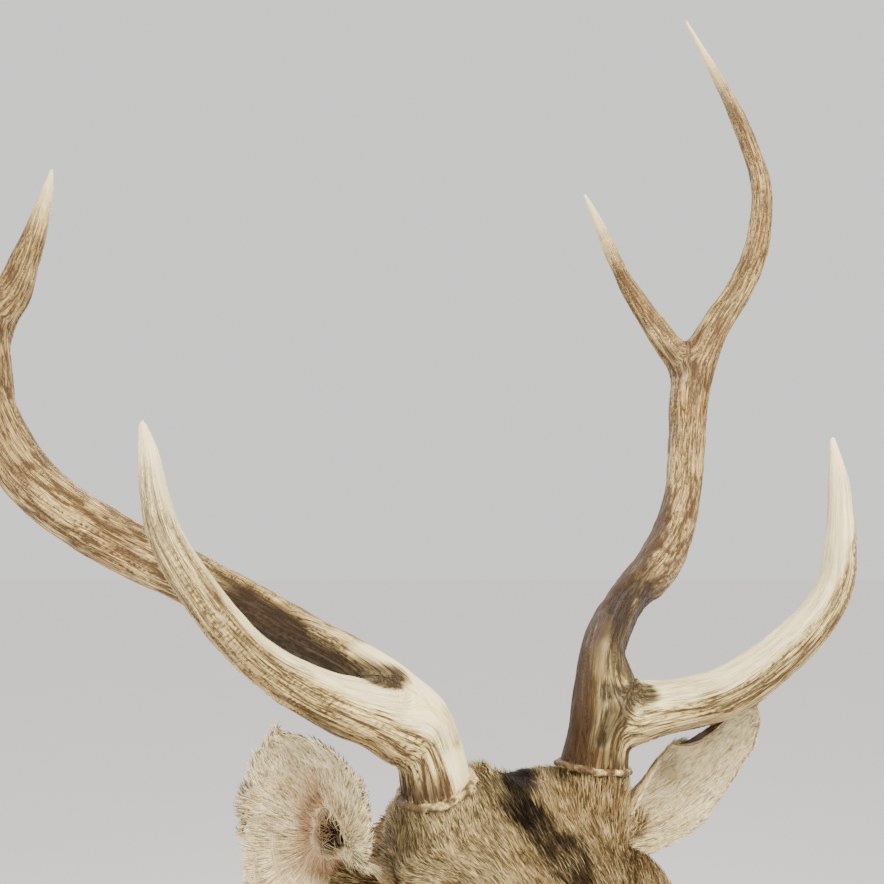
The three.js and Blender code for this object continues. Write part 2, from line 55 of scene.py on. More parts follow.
HEAD_AT = np.array([25.0, -400.0, 305.0])
HEAD_PITCH, HEAD_ROLL, HEAD_YAW = 6.15, -0.65, 20.1
SLOPE = math.radians(53)
CROWN = (-5.0, -6.0)
EYE_RADIUS = 16.0
EYE = (84.0, -27.0, 50.0)
LID_HALF = 15.5
NOSTRIL = (237.5, -31.0, 14.5)
PEDICLE_FOOT = {"left": [39.0, -7.0, -46.0], "right": [32.0, 2.0, -48.0]}
PEDICLE_RADII = (24.0, 18.6)
BROW_RIDGE = (60.0, -8.0, 56.0)
BROW_RIDGE_HALF = (18.0, 24.0, 14.0)
BOARD_FACE = -19.35
NAPE = ((13.0, -364.0, 272.0), (14.0, -312.0, 210.0))
NAPE_RADIUS = 36.0

# along each part: place and diameter, mirrored in x for the right antler
ANTLERS = {
    "left": {
        "beam": [
            [45.5, 0, -2.5, 37], [50, 1, 25, 33], [63, 21, 53, 29.5], [112, 78, 71, 28.5], [190, 152, 93, 33],
            [242, 204, 133, 30], [268, 236, 181, 32], [282, 253, 226, 35], [294, 257, 256, 33],
            [312, 258, 288, 26.5], [335, 258, 320, 24.5], [356, 260, 362, 22.5], [368, 269, 424, 18.5],
            [352, 286, 494, 15], [310, 315, 593, 3.4],
        ],
        "brow": [
            [52, 1, 22, 33], [76, -7, 30, 29], [111, -20, 40, 27], [141, -30, 61, 24], [171, -36, 94, 20],
            [180, -33, 124, 16.5], [188, -22, 158, 11.5], [193, -11, 183, 3.4],
        ],
        "inner": [
            [287, 256, 238, 27], [266, 274, 275, 23.5], [240, 298, 328, 15.5], [222, 321, 387, 10],
            [212, 331, 415, 3.4],
        ],
    },
    "right": {
        "beam": [
            [44.5, 0, -3.5, 37], [51, 3, 22, 33], [67, 18, 44, 29.5], [104, 76, 62, 30], [155, 134, 86, 32],
            [204, 172, 108, 34], [255, 213, 143, 34], [281, 241, 188, 31], [293, 261, 240, 35],
            [312, 263, 280, 28], [334, 265, 316, 24.5], [354, 270, 360, 22.5], [365, 280, 424, 18.5],
            [350, 296, 492, 15], [312, 320, 582, 3.4],
        ],
        "brow": [
            [50, 3, 22, 34], [75, 3, 36, 31], [93, 2, 43, 28.5], [116, 0, 55, 23.5], [142, -5, 75, 19.5],
            [168, -10, 108, 17.5], [182, -10, 134, 15.5], [188, -2, 166, 9.5], [191, 6, 180, 3.4],
        ],
        "inner": [
            [293, 262, 240, 29], [277, 271, 266, 26.5], [268, 288, 298, 20.5], [258, 316, 351, 10.5],
            [255, 330, 378, 3.4],
        ],
    },
}
# the ear's line, which way it opens, and its width against EAR_FORM's
EARS = {
    "left": ([[62, 20, -56], [90, 9, -28], [118, 11, -8], [140, -14, 33]], [0.32, -0.89, 0.31], 0.78),
    "right": ([[-58, 20, -62], [-102, 11, -41], [-111.5, 3, -1], [-128, -9, 38]], [-0.34, -0.94, 0], 0.935),
}
EAR_INSET = 2.4
EAR_THICKNESS = 2.6
EAR_BUTT_BACK = {"left": 12, "right": 7}
# the canal's middle and reach, as part of the ear's length and from -1 to 1 across it
CANAL = {"left": (0.05, 0.0), "right": (0.465, 0.27)}
CANAL_REACH = {"left": (0.1, 0.2), "right": (0.13, 0.2)}
CANAL_DEPTH = 10.0
# part of the length, half width, roll in radians
EAR_FORM = np.array([
    [0, 13, 2.4], [0.2, 21, 2.0], [0.4, 30, 1.35], [0.6, 34, 1.0], [0.78, 30, 0.8], [0.92, 18, 0.6],
    [1, 3, 0.4],
])
# along and out of the face line at the top, the same at the underside, half width, level of the widest place
HEAD_STATIONS = np.array([
    [242, -27, 241, -54, 16, 0.55], [236, -18, 236, -66, 25, 0.58], [226, -13, 224, -75, 30, 0.6],
    [210, -10, 206, -79, 32, 0.6], [186, -9, 180, -81, 33.5, 0.55], [158, -7, 150, -86, 38, 0.55],
    [132, -3, 122, -95, 47, 0.62], [110, 2, 96, -107, 57, 0.68], [88, 7, 72, -119, 66, 0.74],
    [64, 10, 46, -128, 68, 0.74], [40, 9, 20, -132, 65.5, 0.72], [18, 5, 0, -128, 63, 0.7],
    [0, 0, -14, -118, 60, 0.66], [-13, -14, -22, -102, 51, 0.58], [-20, -34, -24, -84, 30, 0.5],
])
# x, y, z, half width, above, below, lean in degrees, level
BODY_STATIONS = np.array([
    [0, BOARD_FACE, 0, 150, 190, 195, 0, -0.2], [0, -45, 3, 160, 188, 201, 3, -0.22],
    [0, -88, 14, 163, 172, 200, 8, -0.24], [1, -130, 36, 150, 143, 189, 15, -0.24],
    [2, -172, 62, 122, 115, 162, 23, -0.18], [4, -215, 88, 98, 98, 124, 29, -0.1],
    [7, -262, 116, 84, 90, 98, 33, -0.04], [10, -305, 146, 76, 85, 86, 35, 0],
    [14, -343, 180, 69, 79, 79, 37, 0], [17, -374, 211, 58, 72, 69, 38, 0],
])


# ---- how fine the pieces are ----

SKIN_VOXEL, SKIN_SMOOTHING = 3.0, 7
BONE_VOXEL, BONE_SMOOTHING = 1.6, 4
SMOOTHING_FACTOR = 0.5
SPINE_SPACING, SPINE_SMOOTHING = 3.0, 40
TUFTS = {"crown": 52000, "face": 26000, "body": 38000}
EAR_TUFTS = {"inner": 9600, "outer": 4000, "canal": 110}
PIECE_TRIANGLES = 190000


# ---- small vector tools ----

def spin(axis, degrees):
    c, s = math.cos(math.radians(degrees)), math.sin(math.radians(degrees))
    return np.array({
        "x": [[1, 0, 0], [0, c, -s], [0, s, c]],
        "y": [[c, 0, s], [0, 1, 0], [-s, 0, c]],
        "z": [[c, -s, 0], [s, c, 0], [0, 0, 1]],
    }[axis])


HEAD_TURN = spin("z", HEAD_YAW) @ spin("x", HEAD_PITCH) @ spin("y", HEAD_ROLL)


def to_wall(p):
    return np.asarray(p) @ HEAD_TURN.T + HEAD_AT


def to_head(p):
    return (np.asarray(p) - HEAD_AT) @ HEAD_TURN


def face_point(along, out, side=0.0):
    back = CROWN[0] - along * math.cos(SLOPE) - out * math.sin(SLOPE)
    up = CROWN[1] - along * math.sin(SLOPE) + out * math.cos(SLOPE)
    return np.stack(np.broadcast_arrays(side, back, up), -1).astype(float)


def face_place(p):
    """Along the face line and out from it, of points in the head's frame."""
    b, u = p[..., 1] - CROWN[0], p[..., 2] - CROWN[1]
    return -b * math.cos(SLOPE) - u * math.sin(SLOPE), -b * math.sin(SLOPE) + u * math.cos(SLOPE)


def head_places(p):
    """Of points in the wall's frame: their places in the head's, and along and out from the face line."""
    h = to_head(p)
    return (h, *face_place(h))


def unit(v):
    return v / np.maximum(np.linalg.norm(v, axis=-1, keepdims=True), 1e-9)


def dot(a, b):
    return (a * b).sum(-1)


def gap_to(p, point):
    return np.linalg.norm(p - point, axis=-1)


def step(x, lo, hi):
    t = np.clip((x - lo) / (hi - lo), 0, 1)
    return t * t * (3 - 2 * t)


def mix(a, b, w):
    w = np.asarray(w)[..., None] if np.ndim(w) else w
    return a * (1 - w) + b * w


def paint(tone, *coats):
    """Lays colours over a tone in order, each with its share."""
    for colour, share in coats:
        tone = mix(tone, colour, share)
    return tone


def bell(d, width):
    return np.exp(-(d / width) ** 2)


def noise(p, seed=0):
    """Smooth value noise, -1 to 1."""
    p = np.asarray(p, float)
    i = np.floor(p).astype(np.int64)
    f = p - i
    f = f * f * f * (f * (f * 6 - 15) + 10)
    total = np.zeros(p.shape[:-1])
    for dx in (0, 1):
        for dy in (0, 1):
            for dz in (0, 1):
                h = (i[..., 0] + dx) * 374761393 + (i[..., 1] + dy) * 668265263
                h = (h + (i[..., 2] + dz) * 1440662683 + seed * 97003) & 0xFFFFFFFF
                h = ((h ^ (h >> 13)) * 1274126177) & 0xFFFFFFFF
                value = ((h ^ (h >> 16)) & 0xFFFF) / 32767.5 - 1
                wx = f[..., 0] if dx else 1 - f[..., 0]
                wy = f[..., 1] if dy else 1 - f[..., 1]
                wz = f[..., 2] if dz else 1 - f[..., 2]
                total += value * wx * wy * wz
    return total


def fbm(p, octaves=3, seed=0):
    total, size = 0, 1.0
    for k in range(octaves):
        total = total + noise(np.asarray(p) * 2**k, seed + 13 * k) * size
        size *= 0.5
    return total


def smooth_rows(rows, count):
    """A uniform Catmull-Rom curve through the rows, and where its points are between them."""
    t = np.linspace(0, len(rows) - 1, count)
    i = np.minimum(t.astype(int), len(rows) - 2)
    f = (t - i)[:, None]
    wide = np.vstack([2 * rows[0] - rows[1], rows, 2 * rows[-1] - rows[-2]])
    a, b, c, d = wide[i], wide[i + 1], wide[i + 2], wide[i + 3]
    curve = 2 * b + (c - a) * f + (2 * a - 5 * b + 4 * c - d) * f**2 + (3 * b - a - 3 * c + d) * f**3
    return 0.5 * curve, t


def centripetal(points, fine=60):
    """Points of a centripetal Catmull-Rom curve and their landmark numbers."""
    p = np.asarray(points, float)
    wide = np.vstack([2 * p[0] - p[1], p, 2 * p[-1] - p[-2]])
    out, marks = [], []
    f = np.linspace(0, 1, fine, endpoint=False)[:, None]
    for i in range(len(p) - 1):
        a, b, c, d = wide[i:i + 4]
        k0, k1, k2 = (np.linalg.norm(v) ** 0.5 for v in (b - a, c - b, d - c))
        m1 = ((b - a) / k0 - (c - a) / (k0 + k1) + (c - b) / k1) * k1
        m2 = ((c - b) / k1 - (d - b) / (k1 + k2) + (d - c) / k2) * k1
        out.append(b + m1 * f + (-3 * b + 3 * c - 2 * m1 - m2) * f**2 + (2 * b - 2 * c + m1 + m2) * f**3)
        marks.append(i + f[:, 0])
    return np.vstack([*out, p[-1:]]), np.append(np.concatenate(marks), len(p) - 1)


def even(points, extra, spacing):
    """Resamples a curve at an even spacing, with what goes with each point."""
    length = np.concatenate([[0], np.cumsum(np.linalg.norm(np.diff(points, axis=0), axis=1))])
    s = np.linspace(0, length[-1], max(6, int(length[-1] / spacing)))
    p = np.stack([np.interp(s, length, points[:, k]) for k in range(3)], 1)
    return p, np.interp(s, length, extra), s


def carried_frames(path):
    """The path's tangents, and two axes across it that turn no more than it does."""
    tangents = unit(np.gradient(path, axis=0))
    sides = np.empty_like(path)
    side = np.array([0.0, 1.0, 0.0])
    for k, t in enumerate(tangents):
        side = side - t * side.dot(t)
        side /= np.linalg.norm(side)
        sides[k] = side
    return tangents, sides, np.cross(tangents, sides)


# ---- meshes from arrays ----

def object_from(name, points, faces):
    """A mesh object in metres from points in millimetres and arrays of faces."""
    faces = [f for f in (faces if isinstance(faces, list) else [faces]) if len(f)]
    mesh = bpy.data.meshes.new(name)
    loops = np.concatenate([f.ravel() for f in faces]).astype(np.int32)
    counts = np.concatenate([np.full(len(f), f.shape[1], np.int32) for f in faces])
    starts = np.concatenate([[0], np.cumsum(counts)[:-1]]).astype(np.int32)
    mesh.vertices.add(len(points))
    mesh.vertices.foreach_set("co", (np.asarray(points) * MM).astype(np.float32).ravel())
    mesh.loops.add(len(loops))
    mesh.loops.foreach_set("vertex_index", loops)
    mesh.polygons.add(len(counts))
    mesh.polygons.foreach_set("loop_start", starts)
    mesh.polygons.foreach_set("loop_total", counts)
    mesh.polygons.foreach_set("use_smooth", np.ones(len(counts), bool))
    mesh.update(calc_edges=True)
    obj = bpy.data.objects.new(name, mesh)
    bpy.context.scene.collection.objects.link(obj)
    return obj


def loft(rings):
    """Points and faces of a closed body over rings, each of one count."""
    rows, count = rings.shape[:2]
    r, i = np.meshgrid(np.arange(rows - 1), np.arange(count), indexing="ij")
    j = (i + 1) % count
    here, ahead = r * count, (r + 1) * count
    quads = np.stack([here + i, here + j, ahead + j, ahead + i], -1).reshape(-1, 4)
    points = np.vstack([rings.reshape(-1, 3), rings[0].mean(0), rings[-1].mean(0)])
    i = np.arange(count)
    j = (i + 1) % count
    hub, last = rows * count, (rows - 1) * count
    ends = [[np.full(count, hub), j, i], [np.full(count, hub + 1), last + i, last + j]]
    return points, [quads, np.vstack([np.stack(end, 1) for end in ends])]


def outward(points, faces):
    tris = np.vstack([f[:, [0, k, k + 1]] for f in faces for k in range(1, f.shape[1] - 1)])
    a, b, c = (points[tris[:, k]] for k in range(3))
    if np.einsum("ij,ij->i", a, np.cross(b, c)).sum() < 0:
        faces = [f[:, ::-1] for f in faces]
    return points, faces


def joined(bodies):
    points, faces, at = [], {}, 0
    for p, fs in bodies:
        p, fs = outward(p, fs)
        points.append(p)
        for f in fs:
            faces.setdefault(f.shape[1], []).append(f + at)
        at += len(p)
    return np.vstack(points), [np.vstack(f) for f in faces.values()]


def applied(obj, name):
    """The object's mesh with its modifiers, as a new object; the old one goes."""
    graph = bpy.context.evaluated_depsgraph_get()
    mesh = bpy.data.meshes.new_from_object(obj.evaluated_get(graph))
    mesh.name = name
    bpy.data.objects.remove(obj)
    made = bpy.data.objects.new(name, mesh)
    bpy.context.scene.collection.objects.link(made)
    return made


def welded(name, bodies, voxel, smoothing):
    """One closed surface over the bodies, by voxel remesh and smoothing."""
    points, faces = joined(bodies)
    obj = object_from(name + "_raw", points, faces)
    remesh = obj.modifiers.new("weld", "REMESH")
    remesh.mode = "VOXEL"
    remesh.voxel_size = voxel * MM
    soften = obj.modifiers.new("soften", "SMOOTH")
    soften.factor = SMOOTHING_FACTOR
    soften.iterations = smoothing
    return applied(obj, name)


def places(mesh):
    co = np.empty(len(mesh.vertices) * 3, np.float32)
    mesh.vertices.foreach_get("co", co)
    return co.reshape(-1, 3).astype(float) / MM


def set_places(mesh, points):
    mesh.vertices.foreach_set("co", (points * MM).astype(np.float32).ravel())
    mesh.update()


def normals_of(mesh):
    no = np.empty(len(mesh.vertices) * 3, np.float32)
    mesh.vertices.foreach_get("normal", no)
    return no.reshape(-1, 3).astype(float)


def attribute(mesh, name, values, kind="FLOAT"):
    layer = mesh.attributes.new(name, kind, "POINT")
    key = {"FLOAT": "value", "FLOAT_VECTOR": "vector", "FLOAT_COLOR": "color"}[kind]
    if kind == "FLOAT_COLOR":
        values = np.hstack([values, np.ones((len(values), 1))])
    layer.data.foreach_set(key, np.asarray(values, np.float32).ravel())


# ---- the body's own coordinates ----

def body_turn(t):
    """Across and ahead at station number t: the neck turns on its way from the wall to the head."""
    turn = np.radians(HEAD_YAW) * np.clip(t / (len(BODY_STATIONS) - 1), 0, 1) ** 2
    across = np.stack([np.cos(turn), np.sin(turn), 0 * turn], 1)
    return across, np.stack([-np.sin(turn), np.cos(turn), 0 * turn], 1)


def body_spine():
    """The body's middle line from the wall to the muzzle: places, directions, axes across it, lengths."""
    middles = [row[:3] for row in BODY_STATIONS]
    for top_a, top_o, low_a, low_o, _, level in HEAD_STATIONS[9::-1]:
        mid = [low_a + (top_a - low_a) * level, low_o + (top_o - low_o) * level]
        middles.append(to_wall(face_point(*mid)))
    path, marks = centripetal(np.array(middles), 40)
    path, marks, along = even(path, marks, SPINE_SPACING)
    for _ in range(SPINE_SMOOTHING):
        path[1:-1] = (path[:-2] + 2 * path[1:-1] + path[2:]) / 4
    tangent = unit(np.gradient(path, axis=0))
    side, _ = body_turn(marks)
    side = unit(side - tangent * dot(side, tangent)[:, None])
    return path, tangent, side, np.cross(tangent, side), along


SPINE, SPINE_DIR, SPINE_SIDE, SPINE_UP, SPINE_LENGTH = body_spine()
NECK_END = float(SPINE_LENGTH[np.argmin(gap_to(SPINE, BODY_STATIONS[-1, :3]))])


def spine_place(p):
    """Angle round the body (0 on the back), length along it from the wall, and the nearest spine point."""
    nearest = np.empty(len(p), int)
    for k in range(0, len(p), 40000):
        part = p[k:k + 40000].astype(np.float32)
        gap = ((part[:, None, :] - SPINE.astype(np.float32)[None]) ** 2).sum(-1)
        nearest[k:k + 40000] = gap.argmin(1)
    off = p - SPINE[nearest]
    angle = np.arctan2(dot(off, SPINE_SIDE[nearest]), dot(off, SPINE_UP[nearest]))
    along = SPINE_LENGTH[nearest] + dot(off, SPINE_DIR[nearest])
    return angle, along, nearest


# ---- the skin ----

def egg_rings(middle, side, up, half, above, below, square, taper, sides):
    """Rings that are squarer as square is less than 1, and narrower below as taper is more than 0."""
    angle = np.linspace(0, 2 * np.pi, sides, endpoint=False)
    c, s = np.cos(angle), np.sin(angle)
    x = np.sign(c) * np.abs(c) ** square * np.where(s > 0, 1, 1 - taper * s * s)
    z = np.where(s > 0, above[:, None], below[:, None]) * s
    return middle[:, None] + side[:, None] * (half[:, None] * x)[..., None] + up[:, None] * z[..., None]


def head_rings(count=110, sides=110):
    rows, _ = smooth_rows(HEAD_STATIONS, count)
    top, low = face_point(rows[:, 0], rows[:, 1]), face_point(rows[:, 2], rows[:, 3])
    height = np.linalg.norm(top - low, axis=1)
    above, below = height * (1 - rows[:, 5]), height * rows[:, 5]
    up = unit(top - low)
    middle = low + up * below[:, None]
    side = np.tile([1.0, 0, 0], (count, 1))
    return to_wall(egg_rings(middle, side, up, rows[:, 4], above, below, 0.74, 0.3, sides))


def body_rings(count=120, sides=160):
    rows, t = smooth_rows(BODY_STATIONS, count)
    lean = np.radians(rows[:, 6])
    side, ahead = body_turn(t)
    up = ahead * np.sin(lean)[:, None] + np.array([0, 0, 1.0]) * np.cos(lean)[:, None]
    lift = rows[:, 7] * rows[:, 5]
    middle = rows[:, :3] + up * lift[:, None]
    return egg_rings(middle, side, up, rows[:, 3], rows[:, 4] - lift, rows[:, 5] + lift, 0.92, 0.22, sides)


def tube(path, radius, sides=40):
    _, side, up = carried_frames(path)
    angle = np.linspace(0, 2 * np.pi, sides, endpoint=False)
    ring = side[:, None] * np.cos(angle)[:, None] + up[:, None] * np.sin(angle)[:, None]
    return path[:, None] + ring * np.asarray(radius)[:, None, None]


def mirrored(points, side_name):
    return np.asarray(points, float) * [MIRROR[side_name], 1, 1]


def pedicle(side_name):
    top = mirrored(ANTLERS[side_name]["beam"][0][:3], side_name)
    foot = mirrored(PEDICLE_FOOT[side_name], side_name)
    return foot, top, unit(top - foot)


def ear_line(side_name):
    line, opening, _ = EARS[side_name]
    path, marks = centripetal(np.array(line, float))
    path, _, s = even(path, marks, 0.9)
    return path, s / s[-1], np.array(opening, float)


def ear_butt(side_name):
    """The swelling of the skin that the ear grows from."""
    path, q, opening = ear_line(side_name)
    part = path[q < 0.26]
    bow = np.sin(np.linspace(0, np.pi, len(part)))
    part = part - unit(opening) * EAR_BUTT_BACK[side_name] * bow[:, None]
    return tube(part, np.interp(np.linspace(0, 1, len(part)), [0, 0.6, 1], [20, 16, 9]), 36)


def brow_ridge(mirror):
    """Rings of the ellipsoid over an eye."""
    wide, long, tall = BROW_RIDGE_HALF
    middle = face_point(BROW_RIDGE[0], BROW_RIDGE[1], BROW_RIDGE[2] * mirror)
    down = np.array([0, -math.cos(SLOPE), -math.sin(SLOPE)])
    out = np.array([0, -math.sin(SLOPE), math.cos(SLOPE)])
    pole = np.linspace(0.04, np.pi - 0.04, 24)[:, None, None]
    turn = np.linspace(0, 2 * np.pi, 40, endpoint=False)[None, :, None]
    across = np.array([wide, 0, 0]) * np.cos(turn) + out * tall * np.sin(turn)
    return middle + down * long * np.cos(pole) + across * np.sin(pole)


def eye_frame(side_name):
    """The eye's middle, and its axes: out of the head, to the nose along the lids, and up."""
    mirror = MIRROR[side_name]
    middle = face_point(EYE[0], EYE[1], EYE[2] * mirror)
    out = unit(np.array([0.87 * mirror, -0.42, 0.24]))
    nose = unit(face_point(100, 0) - face_point(0, 0))
    nose = unit(nose * 0.9 + np.array([0, -0.5, 0.12]))
    nose = unit(nose - out * nose.dot(out))
    up = np.cross(nose, out) * mirror
    return middle, out, nose, up if up[2] > 0 else -up


def coat_depth(a, along):
    """How deep the coat is over the skin, at places along the face line and along the body."""
    face = np.interp(a, [-30, 10, 60, 120, 200, 230], [2.4, 1.8, 1.8, 1.7, 1.2, 0.3])
    on_head = step(along, NECK_END - 40, NECK_END + 10)
    return 8.5 * (1 - on_head) + face * on_head


def mouth_line(a):
    """How far out from the face line the mouth is, at places along it."""
    t = np.clip((a - 40) / 210, 0, 1)
    return -84 + 24 * t - 3.0 * np.sin(t * np.pi)


# hollows and swellings of the head, on both sides: along, out, aside, height, size
HEAD_FORMS = [
    (66, 2, 50, 3.4, 17), (58, -88, 55, 2.2, 30), (128, -34, 48, -4.2, 22), (165, -18, 34, -2.2, 20),
    (35, 10, 0, -2.0, 22), (106, -10, 40, -2.4, 16), (5, -8, 0, 1.8, 20), (212, -34, 33, 1.8, 15),
    (190, -62, 30, 1.2, 16), (96, -48, 62, -2.0, 14),
]
# the same of the shoulders: place in the wall's frame, height, size
BODY_FORMS = [((112, -150, 92), -6.5, 42), ((104, -168, -60), -5.0, 46), ((140, -88, -10), 3.4, 60)]


def sculpt(p, normal):
    """Moves the skin in to the coat's root and gives it the head's and shoulders' forms."""
    h, a, o = head_places(p)
    angle, along, _ = spine_place(p)
    x = h[:, 0]
    on_head = step(along, NECK_END - 30, NECK_END + 30)
    back_cap = step(p[:, 1], BOARD_FACE - 6, BOARD_FACE - 1) * step(normal[:, 1], 0.5, 0.9)
    push = -coat_depth(a, along) * (1 - back_cap)
    forms = 0
    for at, out, side, height, size in HEAD_FORMS:
        middles = [face_point(at, out, side * mirror) for mirror in ((1, -1) if side else (1,))]
        forms = forms + sum(height * bell(gap_to(h, middle), size) for middle in middles)
    # the hollow over the right ear's root, and the dip of the crown between the burrs
    forms = forms - 4.6 * bell(gap_to(h, face_point(3, -34, -64)), 20)
    forms = forms - 4.0 * bell(x - 14, 14) * bell(a + 12, 14) * step(o, -45, -15)
    push = push + forms * on_head
    # the mouth with its lips, and the furrow under the nose
    to_mouth = o - mouth_line(a)
    lip = on_head * step(a, 138, 152) * step(np.abs(x) + 40 * (a > 215), 3, 8)
    push = push - lip * 2.6 * bell(to_mouth, 1.9) + lip * 0.9 * (bell(to_mouth - 5, 3) + bell(to_mouth + 5, 3))
    push = push - on_head * 1.6 * bell(x, 1.6) * step(a, 232, 238) * step(o, -62, -56) * (1 - step(o, -44, -38))
    moved = p + normal * push[:, None]
    # the brisket's keel, the shoulders' forms and folds at the throat
    body = 1 - on_head
    push = 3.0 * bell((np.abs(angle) - np.pi), 0.35) * body * (1 - back_cap)
    for mirror in (1, -1):
        for (across, back, up), height, size in BODY_FORMS:
            push = push + height * bell(gap_to(p, [across * mirror, back, up]), size)
    fold = noise(np.stack([angle * 1.3, along / 24, 0 * along], 1), 5)
    push = push + 1.3 * fold * body * bell(along - 260, 110) * (1 - back_cap)
    return moved + normal * push[:, None]


def shape_eyes(p):
    """Lids close to the ball, a corner fold at each end, and the opening sunk behind the ball."""
    h = to_head(p)
    for side_name in SIDES:
        middle, out, nose, up = eye_frame(side_name)
        off = h - middle
        depth, s, v = off @ out, off @ nose, off @ up
        near = (np.linalg.norm(off, axis=1) < 34) & (depth > -8)
        s, v, depth = s[near], v[near], depth[near]
        flat = np.hypot(s / LID_HALF, v / np.where(v > 0, 11.0, 9.0))
        lid_flat = np.minimum(np.hypot(s, v), EYE_RADIUS + 6)
        ball = (EYE_RADIUS + 1.5) ** 2 - np.minimum(lid_flat, EYE_RADIUS + 1.3) ** 2
        ball = np.sqrt(np.maximum(ball, 0))
        inside = 1 - step(flat, 0.86, 1.02)
        rim = step(flat, 0.9, 1.04) * (1 - step(flat, 1.25, 1.9))
        want = depth * (1 - rim) + np.maximum(depth * 0.45 + ball * 0.55, ball) * rim
        # the lid's edge, the crease behind it and the fold behind that
        want = want + 1.5 * bell(flat - 1.12, 0.09) - 1.2 * bell(flat - 1.36, 0.1) + 0.8 * bell(flat - 1.58, 0.12)
        want = want * (1 - inside) + (EYE_RADIUS - 7.5 - 3 * (1 - flat)) * inside
        # the slit gland before the eye
        gland = bell(v + 3.5 + 0.32 * (s - 16), 2.2) * step(s, 15, 19) * (1 - step(s, 32, 40))
        want = want - 3.2 * gland
        h[near] = h[near] + out * (want - depth)[:, None]
    return to_wall(h)


def nostrils(p):
    h = to_head(p)
    for mirror in (1, -1):
        middle = face_point(NOSTRIL[0], NOSTRIL[1], NOSTRIL[2] * mirror)
        axis = unit(np.array([0.62 * mirror, -0.74, -0.15]))
        off = h - middle
        flat = off - (off @ axis)[:, None] * axis
        across = flat @ unit(np.array([0.35 * mirror, 0.35, 0.9]))
        other = np.sqrt(np.maximum(dot(flat, flat) - across**2, 0))
        gap = np.hypot(across / 8.6, other / 4.8)
        hole = 1 - step(gap, 0.55, 1.05)
        edge = bell(gap - 1.25, 0.22)
        near = (np.linalg.norm(off, axis=1) < 26)
        h = h - axis * (near * (hole * 9.0 - edge * 1.1))[:, None]
    return to_wall(h)


def refined(mesh):
    """Cuts the faces on the face and round the eyes finer."""
    bm = bmesh.new()
    bm.from_mesh(mesh)
    bm.verts.ensure_lookup_table()
    co = np.array([v.co[:] for v in bm.verts]) / MM
    _, a, o = head_places(co)
    _, along, _ = spine_place(co)
    fine = (along > NECK_END + 6) & (a > 20) & (o > -75)
    edges = [e for e in bm.edges if fine[e.verts[0].index] and fine[e.verts[1].index]]
    bmesh.ops.subdivide_edges(bm, edges=edges, cuts=1, use_grid_fill=True)
    bmesh.ops.triangulate(bm, faces=[f for f in bm.faces if len(f.verts) > 4])
    bm.to_mesh(mesh)
    bm.free()
    mesh.update()


def make_skin():
    nape = np.array(NAPE[0]) + (np.array(NAPE[1]) - NAPE[0]) * np.linspace(0, 1, 20)[:, None]
    bodies = [loft(head_rings()), loft(body_rings()), loft(tube(nape, np.full(20, NAPE_RADIUS)))]
    for side_name in SIDES:
        foot, top, axis = pedicle(side_name)
        path = foot + (top + axis * 0.5 - foot) * np.linspace(0, 1, 30)[:, None]
        bodies.append(loft(to_wall(tube(path, np.linspace(*PEDICLE_RADII, 30)))))
        bodies.append(loft(to_wall(ear_butt(side_name))))
        bodies.append(loft(to_wall(brow_ridge(MIRROR[side_name]))))
    skin = welded("skin", bodies, SKIN_VOXEL, SKIN_SMOOTHING)
    mesh = skin.data
    refined(mesh)
    set_places(mesh, nostrils(shape_eyes(sculpt(places(mesh), normals_of(mesh)))))
    mesh.polygons.foreach_set("use_smooth", np.ones(len(mesh.polygons), bool))
    return skin


# ---- markings, shared by skin and coat (linear colours) ----

def srgb(*values):
    v = np.array(values, float) / 255
    return np.where(v <= 0.04045, v / 12.92, ((v + 0.055) / 1.055) ** 2.4)


GOLD, TAN, BLOND, CHOCOLATE = srgb(190, 162, 112), srgb(150, 124, 82), srgb(222, 200, 148), srgb(28, 15, 6)
GREY_BROWN, WHITE, RUFOUS = srgb(130, 112, 84), srgb(240, 232, 212), srgb(148, 106, 68)
DORSAL = srgb(52, 32, 18)
NAPE_BROWN, BEHIND_EARS, BEFORE_EAR = srgb(84, 62, 40), srgb(140, 114, 76), srgb(218, 195, 150)
# across the head, and down the face from the crown
DARK_STROKE = [(16, -17), (10, -9), (2, 0), (-1, 7), (1, 15), (6, 24), (12, 34), (17, 46), (15, 84)]
PALE_STROKE = [(-17, -11), (-20, 4), (-25, 18), (-22, 34), (-15, 50)]
# at parts of the dark stroke's length: how strong it is, and half its width
DARK_STRENGTH = ([0, 0.5, 0.7, 0.88, 1], [0.98, 0.97, 0.88, 0.74, 0.35])
DARK_WIDTH = ([0, 0.3, 0.5, 0.75, 1], [11.5, 13, 12, 14, 9])
# the white spots: how far apart the rows are, and the spots in a row, and their size
SPOT_ROW, SPOT_STEP, SPOT_SIZE = 35, 38, 7.4
BODY_ROUND = 118


def stroke(p, points):
    """How far places are from a line of points, and how far down it they are, 0 to 1."""
    points = np.asarray(points, float)
    best, where = np.full(len(p), 1e9), np.zeros(len(p))
    for k, (start, way) in enumerate(zip(points, np.diff(points, axis=0))):
        t = np.clip((p - start) @ way / way.dot(way), 0, 1)
        gap = np.linalg.norm(p - start - t[:, None] * way, axis=1)
        where = np.where(gap < best, (k + t) / (len(points) - 1), where)
        best = np.minimum(best, gap)
    return best, where


